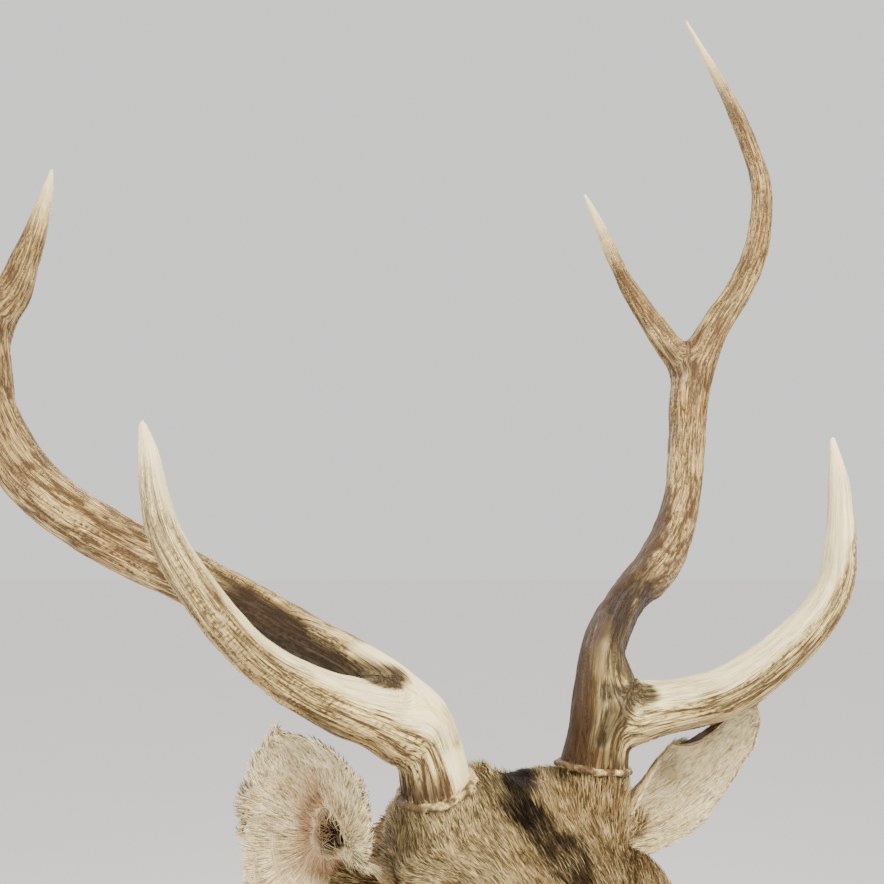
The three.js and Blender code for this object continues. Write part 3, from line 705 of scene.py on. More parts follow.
def face_tones(x, a, o, cloud, fine):
    to_pale, _ = stroke(np.stack([x, a], 1), PALE_STROKE)
    to_dark, down = stroke(np.stack([x + 5 * fine, a + 7 * cloud], 1), DARK_STROKE)
    broad, strength = np.interp(down, *DARK_WIDTH), np.interp(down, *DARK_STRENGTH)
    gold_tuft = 0.9 * step(-x + 3 * fine, 4, 9) * step(-x, 30, 22) * step(a, 14, 2) * step(o, -30, -12)
    tone = paint(
        GREY_BROWN,
        (GOLD, step(a + 12 * cloud, 125, 62)),
        (TAN, 0.65 * step(x + 8 * cloud, 20, 40) * step(a, 90, 40)),
        (TAN, 0.6 * step(a, 55, 115) * (1 - step(a, 150, 200))),
        (BLOND, 0.95 * bell(x + 50 + 8 * cloud, 26) * step(a, 78, 38) * step(a, -25, 2)),
        (BLOND, 0.7 * bell(to_pale + 3 * fine, 6)),
        (CHOCOLATE, strength * (1 - step(to_dark, broad * 0.6, broad * 1.25))),
        (CHOCOLATE, 0.4 * bell(x - 34, 20) * bell(a - 52, 14)),
        (BLOND * 0.8, gold_tuft),
        (CHOCOLATE, 0.55 * bell(a - 192, 16) * step(o, -62, -40)),
    )
    return paint(
        tone * (1 - 0.26 * step(x, 28, 46) * step(a, 26, 44))[:, None],
        (BLOND, 0.6 * step(-x, 50, 60) * step(a, 40, 24) * step(o, -45, -25)),
        (WHITE, 0.75 * step(o, -52, -70) * step(a, 110, 150)),
        (WHITE, 0.45 * bell(np.hypot(a - 84, o + 48), 13) * step(np.abs(x), 30, 45)),
        (CHOCOLATE, 0.5 * bell(np.hypot(a - 104, o + 26), 9) * step(np.abs(x), 25, 40)),
    )


def white_spots(angle, along, cloud, fine):
    """1 in the rows of spots along the body's sides."""
    across = (angle * BODY_ROUND + 9 * cloud) / SPOT_ROW
    row = np.floor(across)
    shift = 0.3 * noise(np.stack([row * 1.7, 0 * row, 0 * row], 1), 17)
    cell = np.stack([across, along / SPOT_STEP + 0.5 * row + shift], 1)
    which = np.floor(cell)
    key = [np.column_stack([which, np.full(len(row), k)]) * 1.37 for k in range(3)]
    jitter = np.stack([noise(key[k], 21 + k) for k in range(3)], 1)
    gap = (cell - which - 0.5 - 0.3 * jitter[:, :2]) * [SPOT_ROW, SPOT_STEP]
    size = SPOT_SIZE * (1 + 0.35 * jitter[:, 2])
    spot = 1 - step(np.hypot(gap[:, 0] * 1.1, gap[:, 1] * 0.8) + 1.2 * fine, size * 0.75, size * 1.15)
    return spot * step(along, 275, 200) * step(np.abs(angle), 0.2, 0.3) * step(np.abs(angle), 2.4, 2.0)


def body_tones(angle, along, cloud, fine):
    """The neck and shoulders."""
    under = np.abs(angle)
    return paint(
        RUFOUS,
        (TAN, np.clip(0.35 + 0.3 * cloud, 0, 1)),
        (DORSAL, 0.85 * bell(angle, 0.16 + 0.1 * step(along, 260, 60))),
        (GREY_BROWN, 0.8 * step(along, 230, NECK_END - 30)),
        (BLOND, 0.45 * step(under, 2.2, 3.0) * step(along, 60, 200)),
        (NAPE_BROWN, 0.85 * step(along, NECK_END - 120, NECK_END - 60) * (1 - step(under, 1.5, 2.3))),
        (WHITE, 0.85 * white_spots(angle, along, cloud, fine)),
    )


def markings(p):
    """The colour of the coat's tips at points in the wall's frame."""
    h, a, o = head_places(p)
    angle, along, _ = spine_place(p)
    cloud, fine = fbm(p / 26, 2, 3), fbm(p / 9, 2, 11)
    tone = face_tones(h[:, 0], a, o, cloud, fine)
    # the dark collar of hair round each pedicle's top
    for side_name in SIDES:
        foot, top, axis = pedicle(side_name)
        below = (top - h) @ axis
        reach = np.linalg.norm(np.cross(h - foot, axis), axis=1)
        tone = mix(tone, CHOCOLATE, 0.6 * step(below, 9, 2) * step(reach, 34, 26) * (fine > -0.5))
    throat = step(np.abs(angle), 2.35, 2.75) * bell(along - NECK_END + 20, 62)
    tone = mix(body_tones(angle, along, cloud, fine), tone, step(along, NECK_END - 18, NECK_END + 30))
    tone = mix(tone, WHITE, 0.85 * throat)
    for side_name in SIDES:
        far = gap_to(h, EARS[side_name][0][0])
        share = (1 - step(o, -50, -32)) * (1 - step(far, 36, 66)) * step(np.abs(h[:, 0]), 50, 62)
        tone = mix(tone, BEHIND_EARS, share)
    # the pale hair before the left ear
    root, opening = np.array(EARS["left"][0][0]), unit(np.array(EARS["left"][1]))
    before_ear = step((h - root) @ opening, -8, 3) * (1 - step(gap_to(h, root), 24, 38))
    share = before_ear * step(h[:, 0], 55, 60) * step(along, NECK_END - 20, NECK_END)
    tone = mix(tone, BEFORE_EAR, share)
    return 0.93 * tone * (1 + 0.16 * fine + 0.1 * cloud)[:, None]


def bare(p):
    """1 on the nose leather, the lips' edge and the lids, where no coat grows."""
    h, a, o = head_places(p)
    nose = step(a + 0.10 * np.abs(h[:, 0]) + 0.05 * (o + 40), 222, 226) * step(o, -63, -58)
    lid = 0
    for side_name in SIDES:
        middle, out, along, up = eye_frame(side_name)
        off = h - middle
        flat = np.hypot((off @ along) / LID_HALF, (off @ up) / 10.5)
        lid = np.maximum(lid, (1 - step(flat, 1.1, 1.22)) * (off @ out > 2))
    mouth = bell(o - mouth_line(a), 1.7) * step(a, 146, 156)
    return np.maximum(np.maximum(nose, lid), mouth)


# ---- hair ----

# how far the forehead's hair leans, in degrees, at places across the head
FACE_LEAN = ([-72, -46, -20, 2, 18, 42, 66], [-78, -64, -46, -38, -30, -4, 14])


def lie(p, normal):
    """The direction the hair points along the skin."""
    h, a, o = head_places(p)
    _, along, near = spine_place(p)
    flow = -SPINE_DIR[near].copy()
    body = 1 - step(along, NECK_END - 40, NECK_END + 20)
    flow = flow + np.array([0, 0, -1.0]) * (0.45 * body)[:, None]
    # the forehead: hair climbs the face, fans from the midline and turns up the pedicles
    face = step(o, -60, -30) * step(along, NECK_END - 10, NECK_END + 20)
    climb = np.array([0, math.cos(SLOPE), math.sin(SLOPE)]) @ HEAD_TURN.T
    across = np.array([1.0, 0, 0]) @ HEAD_TURN.T
    high = step(a, 105, 55)
    lean = np.interp(h[:, 0], *FACE_LEAN) * (0.35 + 0.65 * step(a, -5, 32))
    lean = np.radians(lean * high + np.clip(h[:, 0] / 46, -1, 1) * 24 * (1 - high))
    rise = climb * np.cos(lean)[:, None] + across * np.sin(lean)[:, None]
    flow = mix(flow, unit(rise), 0.9 * face)
    for side_name in SIDES:
        foot, _, axis = pedicle(side_name)
        reach = np.linalg.norm(np.cross(h - foot, axis), axis=1)
        pull = bell(np.maximum(reach - 16, 0), 13) * step(a, 40, 14) * step(o, -60, -25)
        flow = mix(flow, axis @ HEAD_TURN.T, 0.85 * pull)
    swirl = noise(p / 17, 31)[:, None] * np.cross(normal, unit(flow)) * 0.22
    flow = flow + swirl
    return unit(flow - normal * dot(flow, normal)[:, None])


# a tuft is two three-sided rings and a tip: its section, where its rings and tip are, and its faces
TUFT_SECTION = [(-0.5, 0), (0.5, 0), (0.0, 0.42)]
TUFT_LEVELS = (0.0, 0.5, 1.0)
TUFT_DROOP = 0.55
TUFT_FACES = np.array(
    [[2, 1, 0]]
    + [face for k, j in ((0, 1), (1, 2), (2, 0)) for face in ([k, j, j + 3], [k, j + 3, k + 3])]
    + [[3, 4, 6], [4, 5, 6], [5, 3, 6]]
)


def tufts(name, root, normal, flow, length, width, lift, tip_tone, root_tone, place):
    """Tapered locks, all in one mesh, each a small patch of the OFBake map at its root's place."""
    count = len(root)
    side = np.cross(normal, flow)
    points, ends, uvs = [], [], []
    shift = rng.uniform(-1, 1, (count, 2))
    for t in TUFT_LEVELS:
        rise = length * (np.sin(lift) * (t - TUFT_DROOP * t * t)) - 0.6 * (1 - t)
        middle = root + flow * (length * np.cos(lift) * t)[:, None] + normal * rise[:, None]
        middle = middle + side * (shift[:, :1] * length[:, None] * 0.12 * t * t)
        taper = (1 - t) ** 0.55
        for across, up in TUFT_SECTION if t < 1 else [(0, 0)]:
            across_by, up_by = (across * width * taper)[:, None], (up * width * taper)[:, None]
            points.append(middle + side * across_by + normal * up_by)
            uvs.append([0.0015 * across, 0.003 * (t - 0.5)])
            ends.append(t)
    per = len(points)
    points = np.stack(points, 1)
    # the hair stays off the wall
    points[..., 1] = np.minimum(points[..., 1], -1.0 - 3.5 * np.abs(shift[:, :1]))
    faces = (np.arange(count)[:, None, None] * per + TUFT_FACES).reshape(-1, 3)
    obj = object_from(name, points.reshape(-1, 3), faces)
    mesh = obj.data
    attribute(mesh, "tip", np.tile(ends, count))
    attribute(mesh, "tone", np.repeat(tip_tone, per, 0), "FLOAT_COLOR")
    attribute(mesh, "root_tone", np.repeat(root_tone, per, 0), "FLOAT_COLOR")
    attribute(mesh, "own", np.repeat(rng.random(count), per))
    layer = mesh.uv_layers.new(name="OFBake")
    low, high = place.min(0), place.max(0)
    spot = 0.004 + 0.992 * (place - low) / np.maximum(high - low, 1e-6)
    uv = (spot[:, None] + np.array(uvs)[None]).reshape(-1, 2)
    layer.data.foreach_set("uv", uv[faces.ravel()].astype(np.float32).ravel())
    mesh.materials.append(COAT)
    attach(obj, "root")
    return obj


def roots_on(mesh, count, density):
    """Random places on a mesh by area and density, with their normals."""
    mesh.calc_loop_triangles()
    tris = np.empty(len(mesh.loop_triangles) * 3, np.int32)
    mesh.loop_triangles.foreach_get("vertices", tris)
    tris = tris.reshape(-1, 3)
    p, n = places(mesh), normals_of(mesh)
    a, b, c = (p[tris[:, k]] for k in range(3))
    weight = np.linalg.norm(np.cross(b - a, c - a), axis=1) * density(p)[tris].mean(1)
    pick = rng.choice(len(tris), count, p=weight / weight.sum())
    u, v = rng.random((2, count))
    flip = u + v > 1
    u, v = np.where(flip, 1 - u, u), np.where(flip, 1 - v, v)
    w = 1 - u - v
    t = tris[pick]

    def within(values):
        return values[t[:, 0]] * w[:, None] + values[t[:, 1]] * u[:, None] + values[t[:, 2]] * v[:, None]

    return within(p), unit(within(n))


def crown_share(p):
    """1 on the crown and forehead, which the photograph shows and where the coat is finest."""
    _, a, o = head_places(p)
    _, along, _ = spine_place(p)
    return step(along, NECK_END - 20, NECK_END + 10) * step(o, -70, -40) * step(a, 100, 70)


def crown_density(p):
    return crown_share(p) * (1 - bare(p))


def face_density(p):
    _, a, _ = head_places(p)
    _, along, _ = spine_place(p)
    on_head = step(along, NECK_END - 30, NECK_END)
    return on_head * (1 - 0.93 * crown_share(p)) * (1 - bare(p)) * (1 + 1.4 * step(a, 120, 200))


def body_density(p):
    _, along, _ = spine_place(p)
    return (1 - step(along, NECK_END - 10, NECK_END + 15)) * (p[:, 1] < BOARD_FACE - 1.5) + 1e-9


# at places along the face line: the hair's length and width
HEAD_LENGTH = ([-30, 0, 30, 70, 120, 200, 235], [15, 13, 11, 9, 6.5, 4, 2.5])
HEAD_WIDTH = ([0, 70, 120, 220], [0.66, 0.66, 0.95, 0.72])
BODY_LENGTH, BODY_WIDTH = 25, 2.3
# what a dark hair and the coat's roots are of the coat's own tone
DARK_HAIR, ROOT_SHARE = np.array([0.34, 0.31, 0.28]), np.array([0.36, 0.31, 0.27])


def hair_tones(root, a, on_head):
    """Each tuft's tone, with dark and pale ones gathered in locks."""
    count = len(root)
    tip = markings(root)
    tip = tip * (1 + 0.18 * rng.normal(0, 1, count))[:, None]
    lock = noise(root / 5.5, 37) + 0.6 * noise(root / 2.6, 39)
    fore = step(a, 110, 60)
    pick_dark = rng.random(count) + 0.35 * lock < 0.06 + 0.27 * fore * on_head
    pick_pale = rng.random(count) - 0.3 * lock < 0.05 + 0.2 * fore * on_head
    lit = step(tip.mean(1), 0.02, 0.12)
    tip = np.where(pick_pale[:, None], mix(tip, BLOND, 0.1 + 0.56 * lit), tip)
    return np.clip(np.where(pick_dark[:, None], tip * DARK_HAIR, tip), 0, 1)


def coat_on_skin(skin):
    share = 1.0
    for label, density in (("crown", crown_density), ("face", face_density), ("body", body_density)):
        count = int(TUFTS[label] * share)
        root, normal = roots_on(skin.data, count, density)
        h, a, o = head_places(root)
        x = h[:, 0]
        angle, along, _ = spine_place(root)
        flow = lie(root, normal)
        wild = rng.normal(0, 1, (count, 2))
        flow = unit(flow + np.cross(normal, flow) * (wild[:, :1] * 0.13))
        on_head = step(along, NECK_END - 40, NECK_END + 20)
        length = BODY_LENGTH * (1 - on_head) + np.interp(a, *HEAD_LENGTH) * on_head
        length = length * rng.uniform(0.72, 1.25, count)
        width = BODY_WIDTH * (1 - on_head) + np.interp(a, *HEAD_WIDTH) * on_head
        width = width * rng.uniform(0.7, 1.3, count)
        # the crest between the burrs, its two spikes and the gap beside them
        crest = step(a, 24, -6) * step(o, -45, -12) * on_head * (1 - 0.75 * bell(x - 3, 12))
        spike = 1.6 * bell(np.hypot(x + 13, a + 10), 6) + bell(np.hypot(x - 19, a + 9), 6)
        length = length * (1 + 0.45 * spike) * (1 - 0.5 * bell(x - 13, 13) * step(a, 14, -4) * on_head)
        lift = np.radians(9 + 9 * step(a, 90, 30) * on_head + 24 * crest + 34 * spike + 4 * wild[:, 1])
        lift = np.maximum(lift, np.radians(3))
        length = length * (1 - 0.45 * step(root[:, 1], -60, -25))
        tip = hair_tones(root, a, on_head)
        place = np.stack([angle / (2 * np.pi) + 0.5, along / SPINE_LENGTH[-1]], 1)
        order = np.argsort(along if label == "body" else angle)
        parts = math.ceil(count * len(TUFT_FACES) / PIECE_TRIANGLES)
        for k, pick in enumerate(np.array_split(order, parts)):
            tufts(
                f"coat_{label}_{k + 1}", root[pick], normal[pick], flow[pick], length[pick], width[pick],
                lift[pick], tip[pick], tip[pick] * ROOT_SHARE, place[pick],
            )


# ---- ears ----

def ear_section(side_name, q):
    """Middle, axes, radius and roll of the ear's section at parts q of its length."""
    path, at, opening = ear_line(side_name)
    middle = np.stack([np.interp(q, at, path[:, k]) for k in range(3)], 1)
    tangent = unit(np.stack([np.interp(q, at, np.gradient(path[:, k])) for k in range(3)], 1))
    open_way = unit(opening - tangent * dot(opening, tangent)[:, None])
    across = np.cross(tangent, open_way)
    half, roll = (np.interp(q, EAR_FORM[:, 0], EAR_FORM[:, k]) for k in (1, 2))
    half = EARS[side_name][2] * (half + 3.0 * np.sin(np.clip((q - 0.6) / 0.4, 0, 1) * np.pi))
    radius = half / np.sin(np.minimum(roll, np.pi / 2))
    middle = middle + open_way * (radius * np.sin(roll) / roll)[:, None]
    roll = roll - EAR_INSET * np.minimum(q * 3, 1) / radius
    return middle, tangent, open_way, across, radius - 1.2, np.maximum(roll, 0.12)


def ear_grid(side_name, rows, columns, depth):
    """Points of the ear's sheet at a depth under its back: rows along it, columns from rim to rim."""
    q = np.linspace(0, 1, rows)
    middle, _, open_way, across, radius, roll = ear_section(side_name, q)
    f = np.linspace(-1, 1, columns)
    seed, ragged = {"left": (41, 0.035), "right": (43, 0.075)}[side_name]
    qq, ff = np.meshgrid(q, f, indexing="ij")
    rag = ragged * fbm(np.stack([qq * 9, np.sign(ff) * 3, 0 * qq], -1), 3, seed)
    theta = roll[:, None] * ff * (1 + rag * np.abs(ff) ** 6 * step(qq, 0.3, 0.6))
    canal_q, canal_f = CANAL[side_name]
    pit = CANAL_DEPTH * bell(qq - canal_q, 0.11) * bell(ff - canal_f, 0.24)
    wave = 1.1 * fbm(np.stack([qq * 5, ff * 2.2, 0 * qq], -1), 2, seed + 2) * step(qq, 0.15, 0.5)
    thin = depth * (1 - 0.75 * np.abs(ff) ** 5) * (1 - 0.6 * qq)
    r = radius[:, None] - thin + (pit + wave)
    at = middle[:, None] + across[:, None] * (r * np.sin(theta))[..., None]
    return at - open_way[:, None] * (r * np.cos(theta))[..., None], qq, ff


def canal_reach(side_name, q, f):
    """How far places on the ear's sheet are from the middle of its canal, against the canal's own size."""
    canal_q, canal_f = CANAL[side_name]
    reach_q, reach_f = CANAL_REACH[side_name]
    return np.hypot((q - canal_q) / reach_q, (f - canal_f) / reach_f)


def padded_ends(rows):
    """Values of a loft's points, from those of its rings: each end's hub has its ring's mean."""
    return np.append(rows.ravel(), [rows[0].mean(), rows[-1].mean()])


def make_ear(side_name):
    rows, columns = 96, 84
    back, q, f = ear_grid(side_name, rows, columns, 0.0)
    front, _, _ = ear_grid(side_name, rows, columns, EAR_THICKNESS)
    rings = np.concatenate([back, front[:, ::-1]], 1)
    points, faces = outward(*loft(to_wall(rings)))
    obj = object_from(f"ear_skin_{side_name}", points, faces)
    mesh = obj.data
    inside = padded_ends(np.concatenate([np.zeros_like(q), np.ones_like(q)], 1))
    part = padded_ends(np.concatenate([q, q[:, ::-1]], 1))
    across = np.concatenate([f, f[:, ::-1]], 1)
    rim = padded_ends(np.abs(across))
    hollow = canal_reach(side_name, part, padded_ends(across))
    cream_rim = (side_name == "left") * step(rim, 0.86, 0.96)
    glow = inside * bell(part - 0.42, 0.12) * (1 - rim**2)
    tone = paint(
        srgb(104, 84, 60),
        (srgb(240, 224, 182), np.maximum(inside, cream_rim)),
        (srgb(214, 168, 128), 0.35 * glow),
        # painted shade: the canal's inside is near black, standing for the shade in the hole
        (srgb(20, 11, 7), inside * (1 - step(hollow, 0.7, 1.3))),
        (srgb(120, 104, 82), step(part, 0.36, 0.2) * (1 - inside)),
    )
    attribute(mesh, "tone", tone * (1 + 0.15 * fbm(points / 5, 2, 9))[:, None], "FLOAT_COLOR")
    attribute(mesh, "bare", np.zeros(len(points)))
    attribute(mesh, "lie", np.stack([rim * 30 * MM, part * 0.1, inside], 1), "FLOAT_VECTOR")
    mesh.materials.append(SKIN)
    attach(obj, "root")
    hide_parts(f"ear_{side_name}")
    ear_coat(side_name, back, front, q, f)
    return obj


def grid_normals(grid):
    du, dv = np.gradient(grid, axis=0), np.gradient(grid, axis=1)
    return unit(np.cross(du, dv))


def grid_sample(grid, normal, q, f, count, weight):
    """Random places on an ear's grid by weight: with normals, parts of the length and width, and cells."""
    rows, columns = q.shape
    pick = rng.choice(rows * columns, count, p=(weight / weight.sum()).ravel())
    r = np.clip(pick // columns + rng.uniform(-0.5, 0.5, count), 0, rows - 1.001)
    c = np.clip(pick % columns + rng.uniform(-0.5, 0.5, count), 0, columns - 1.001)
    i, j = r.astype(int), c.astype(int)
    u, v = (r - i)[:, None], (c - j)[:, None]

    def take(g):
        near = g[i, j] * (1 - u) * (1 - v) + g[i + 1, j] * u * (1 - v)
        return near + g[i, j + 1] * (1 - u) * v + g[i + 1, j + 1] * u * v

    return take(grid), unit(take(normal)), take(q[..., None])[:, 0], take(f[..., None])[:, 0], i, j


EAR_WHITE, EAR_CREAM, EAR_PINK = srgb(255, 244, 202), srgb(228, 200, 144), srgb(224, 170, 122)
EAR_GREY, EAR_DARK = srgb(120, 102, 84), srgb(70, 56, 44)
EAR_RUST, EAR_ROOT, EAR_BACK = srgb(176, 118, 74), srgb(176, 146, 104), srgb(142, 124, 98)


def ear_inner_tones(side_name, root, qr, fr, wild):
    count = len(root)
    flat_ear = side_name == "left"
    beside = canal_reach(side_name, qr, fr)
    edge = step(np.abs(fr), 0.8, 1.0) * step(qr, 0.4, 0.7) * (0.12 if flat_ear else np.where(fr < 0, 0.9, 0.3))
    crack = bell(noise(root / 6.0, 51), 0.07) * step(-fr, 0.5, 0.8) * step(qr, 0.6, 0.75) * (not flat_ear)
    return paint(
        EAR_WHITE,
        (EAR_CREAM, np.clip(0.25 + 0.5 * noise(root / 4.5, 49) + 0.25 * wild, 0, 1)),
        (EAR_PINK, (0.05 if flat_ear else 0.4) * bell(qr - 0.66, 0.1) * bell(fr - 0.1, 0.4)),
        (EAR_PINK, 0.4 * step(qr, 0.86, 1.0) * flat_ear),
        (EAR_RUST, 0.7 * bell(beside - 1.2, 0.6) * (fr < CANAL[side_name][1]) * (not flat_ear)),
        (EAR_GREY, 0.75 * (rng.random(count) + 0.2 * noise(root / 3.0, 53) < 0.19)),
        (EAR_GREY, edge * rng.random(count)),
        (EAR_DARK, 0.8 * crack),
        (EAR_ROOT, step(qr, 0.34, 0.16) * (not flat_ear)),
    )


def ear_outer_tones(side_name, qr, fr):
    return paint(
        EAR_GREY,
        (EAR_DARK, rng.random(len(qr))),
        (EAR_BACK, 0.85 * step(qr, 0.5, 0.2)),
        (EAR_CREAM, 0.9 * step(np.abs(fr), 0.84, 0.95) * (side_name == "left")),
    )


def ear_coat(side_name, back, front, q, f):
    """The hair in the ear, on its back, and over its canal."""
    share = 1.0
    rows, columns = q.shape
    flat_ear = side_name == "left"
    area = np.linalg.norm(np.cross(np.gradient(front, axis=0), np.gradient(front, axis=1)), axis=-1)
    n = grid_normals(front)
    _, _, open_way, _, _, _ = ear_section(side_name, np.array([0.5]))
    inner_n = n if n[rows // 2, columns // 2] @ open_way[0] > 0 else -n
    along, across = unit(np.gradient(front, axis=0)), unit(np.gradient(front, axis=1))
    canal_q, canal_f = CANAL[side_name]
    reach_grid = canal_reach(side_name, q, f)
    for label in EAR_TUFTS:
        face = label != "outer"
        grid, normal = (front, inner_n) if face else (back, -inner_n)
        count = int(EAR_TUFTS[label] * share)
        weight = area * step(q, 0.02, 0.1) * (1 + 1.6 * np.abs(f) ** 8)
        if label == "inner":
            weight = weight * step(reach_grid, 0.95, 1.2)
        if label == "canal":
            weight = area * bell(reach_grid - 1.2, 0.2)
        root, nn, qr, fr, i, j = grid_sample(grid, normal, q, f, count, weight)
        wild = rng.normal(0, 1, (count, 2))
        # the hair streams out of the canal to the rim, up the back, and over the canal from its edge
        rise, spread = (qr - canal_q) * 140, (fr - canal_f) * 45
        size = np.hypot(rise, spread) + 1e-6
        rise, spread = rise / size, spread / size
        if label == "canal":
            rise, spread = -rise + 0.6 * wild[:, 0], -spread + 0.6 * wild[:, 1]
        elif label == "inner":
            rise = rise + 0.35 + 0.8 * flat_ear
            spread = spread * (0.4 if flat_ear else 0.9) + 0.45 * noise(root / 13, 47) + wild[:, 0] * 0.14
        else:
            rise = 1.0 + 0 * rise
            spread = (0.0 if flat_ear else 0.45) * np.maximum(fr, 0) ** 8 + wild[:, 0] * 0.1
        way = unit(along[i, j] * rise[:, None] + across[i, j] * spread[:, None])
        way = unit(way - nn * dot(way, nn)[:, None])
        length = np.interp(qr, [0.2, 0.5, 1], [13, 11, 6.5]) if face else np.interp(qr, [0.2, 1], [9, 5.5])
        length = length * rng.uniform(0.7, 1.25, count) * np.where(np.abs(fr) > 0.9, 0.6 if face else 1.0, 1)
        width = np.full(count, 0.6 if face else 0.9) * rng.uniform(0.6, 1.3, count)
        lift = np.radians(np.maximum(2.5, 6 + 2 * (not flat_ear) + 3 * wild[:, 1]))
        if label == "canal":
            length, width = rng.uniform(11, 20, count), np.full(count, 0.42)
            lift = np.radians(12 + 6 * np.abs(wild[:, 1]))
        if face:
            tone = ear_inner_tones(side_name, root, qr, fr, wild[:, 0])
        else:
            tone = ear_outer_tones(side_name, qr, fr)
        place = np.stack([qr, fr * 0.5 + 0.5], 1)
        tufts(
            f"coat_ear_{side_name}_{label}", to_wall(root), nn @ HEAD_TURN.T, way @ HEAD_TURN.T, length, width,
            lift, np.clip(tone, 0, 1), np.clip(tone * (0.9 if face else 0.5), 0, 1), place,
        )


# ---- antlers ----

def antler_paths(side_name):
    """Each part's path, radii and distance along it from its own start, which for the beam is the burr."""
    found = []
    for part in ("beam", "brow", "inner"):
        marks = np.array(ANTLERS[side_name][part], float)
        curve, number = centripetal(mirrored(marks[:, :3], side_name))
        diameter = np.interp(number, np.arange(len(marks)), marks[:, 3])
        path, diameter, s = even(curve, diameter, 2.0)
        found.append((part, path, diameter / 2, s))
    return found


def near_on(path, radius, h):
    """The path's nearest place to each point, and the gap from the tube's surface there."""
    index, gap = np.empty(len(h), int), np.empty(len(h))
    small = path.astype(np.float32)
    for k in range(0, len(h), 20000):
        part = h[k:k + 20000].astype(np.float32)
        d = np.sqrt(((part[:, None] - small[None]) ** 2).sum(-1)) - radius.astype(np.float32)
        i = d.argmin(1)
        index[k:k + 20000], gap[k:k + 20000] = i, d[np.arange(len(i)), i]
    return index, gap


def grain_of(h, paths):
    """Bone's own coordinates: round and along it, run on from the burr into each tine without a break."""
    _, beam, beam_r, _ = paths[0]
    total, weights = np.zeros((len(h), 3)), np.zeros(len(h))
    gaps, places_on = [], []
    for number, (_, path, radius, _) in enumerate(paths):
        if number:
            i = int(np.argmin(gap_to(beam, path[4])))
            path = np.vstack([beam[:i], path[4:]])
            radius = np.concatenate([beam_r[:i], radius[4:]])
        s = np.concatenate([[0], np.cumsum(np.linalg.norm(np.diff(path, axis=0), axis=1))])
        for _ in range(12):
            path = np.vstack([path[:1], (path[:-2] + 2 * path[1:-1] + path[2:]) / 4, path[-1:]])
        tangent, side, up = carried_frames(path)
        index, gap = near_on(path, radius, h)
        off = h - path[index]
        turn = np.arctan2(dot(off, up[index]), dot(off, side[index]))
        down = s[index] + dot(off, tangent[index])
        w = np.exp(-np.clip(gap, -4, 40) / 2.2)
        total += np.stack([np.cos(turn) * 15, np.sin(turn) * 15, down], 1) * w[:, None]
        weights += w
        own = gap if number == 0 else near_on(paths[number][1], paths[number][2], h)[1]
        gaps.append(own)
        places_on.append((s[index], s[-1], tangent[index]))
    return total / weights[:, None], gaps, places_on


def burr_rings(side_name, profile, scallop):
    """Rings round the pedicle's top, whose edge is knobbed."""
    _, top, axis = pedicle(side_name)
    side = unit(np.cross(axis, [0.0, 1.0, 0.0]))
    other = np.cross(axis, side)
    angle = np.linspace(0, 2 * np.pi, 180, endpoint=False)
    seed = {"left": 61, "right": 63}[side_name]

    def ripple(size, level, number):
        return noise(np.stack([np.cos(angle) * size, np.sin(angle) * size, 0 * angle + level], 1), seed + number)

    bumps = ripple(3.4, 0, 0) + 0.6 * ripple(8.0, 0, 1)
    rings = []
    for radius, height in profile:
        edge = step(radius, 16.5, 20.5)
        r = radius + edge * scallop * bumps + 0.3 * ripple(14.0, height, 3)
        z = height + 0.8 * edge * ripple(2.4, 5, 2)
        ring = top + side * (r * np.cos(angle))[:, None] + other * (r * np.sin(angle))[:, None]
        rings.append(ring + axis * z[:, None])
    return np.array(rings)


# radius and height over the pedicle's top, of the burr and of the antler's plug in it
BURR_PROFILE = [
    (12, 0.9), (18.5, 0.7), (20.2, 0.9), (21.0, 1.7), (21.2, 2.5), (20.8, 3.3), (19.8, 3.9), (18.2, 4.3),
    (12, 4.4),
]
PLUG_PROFILE = [(9, 0.6), (17.0, 0.6), (18.2, 3), (17.6, 7), (9, 8)]
# lines that the crotch's stain and painted shade follow, in the head's frame, each with its width
STAIN_AND_SHADE_LINES = {
    "left": [
        ([(68, -13, 42), (58, -13, 42), (50, -10, 44)], 8.0), ([(54, -15, 38), (47, -17, 30), (40, -18, 20)], 6.6),
        ([(39, -18, 20), (35, -16, 10)], 2.6), ([(46, -19, 24), (42, -20, 12)], 2.0),
        ([(62, 2, 50), (71, 14, 64), (99, 64, 82), (134, 84, 85)], 10.0),
    ],
    "right": [([(-63, 3, 50), (-68, 4, 52)], 4.6), ([(-70, 5, 53), (-79, 10, 56), (-88, 18, 58)], 10.5)],
}


def bone_places(side_name, h, n, gaps, places_on):
    """Where points of the antler are: the parts' shares in them, and which way they face."""
    gap_beam, gap_brow, gap_inner = gaps
    (along, length, _), (along_brow, length_brow, brow_way), (along_inner, length_inner, _) = places_on
    beam = step(np.minimum(gap_brow, gap_inner) - gap_beam, -2.5, 2.5)
    brow = (1 - beam) * (gap_brow < gap_inner)
    inner = (1 - beam) * (gap_inner <= gap_brow)
    part_t = np.where(brow > 0.5, along_brow / length_brow, along / length)
    part_t = np.where(inner > 0.5, along_inner / length_inner, part_t)
    tip = step(part_t, 0.86, 0.99)
    pale_end = np.where(brow > 0.5, 0.8 * step(part_t, 0.55, 0.95), tip)
    up = np.array([0, 0.12, 1.0])
    upper = unit(up - brow_way * (brow_way @ up)[:, None])
    return SimpleNamespace(
        h=h, n=n, gap_beam=gap_beam, gap_brow=gap_brow, gap_inner=gap_inner, brow=brow, inner=inner,
        along=along, along_brow=along_brow, base=along < 60, tip=tip, pale_end=pale_end,
        ivory=np.maximum(tip, pale_end * brow), cloud=noise(h / 30, 79), patch=noise(h / 11, 80),
        inward=n[:, 0] * -MIRROR[side_name], over=dot(n, upper),
    )


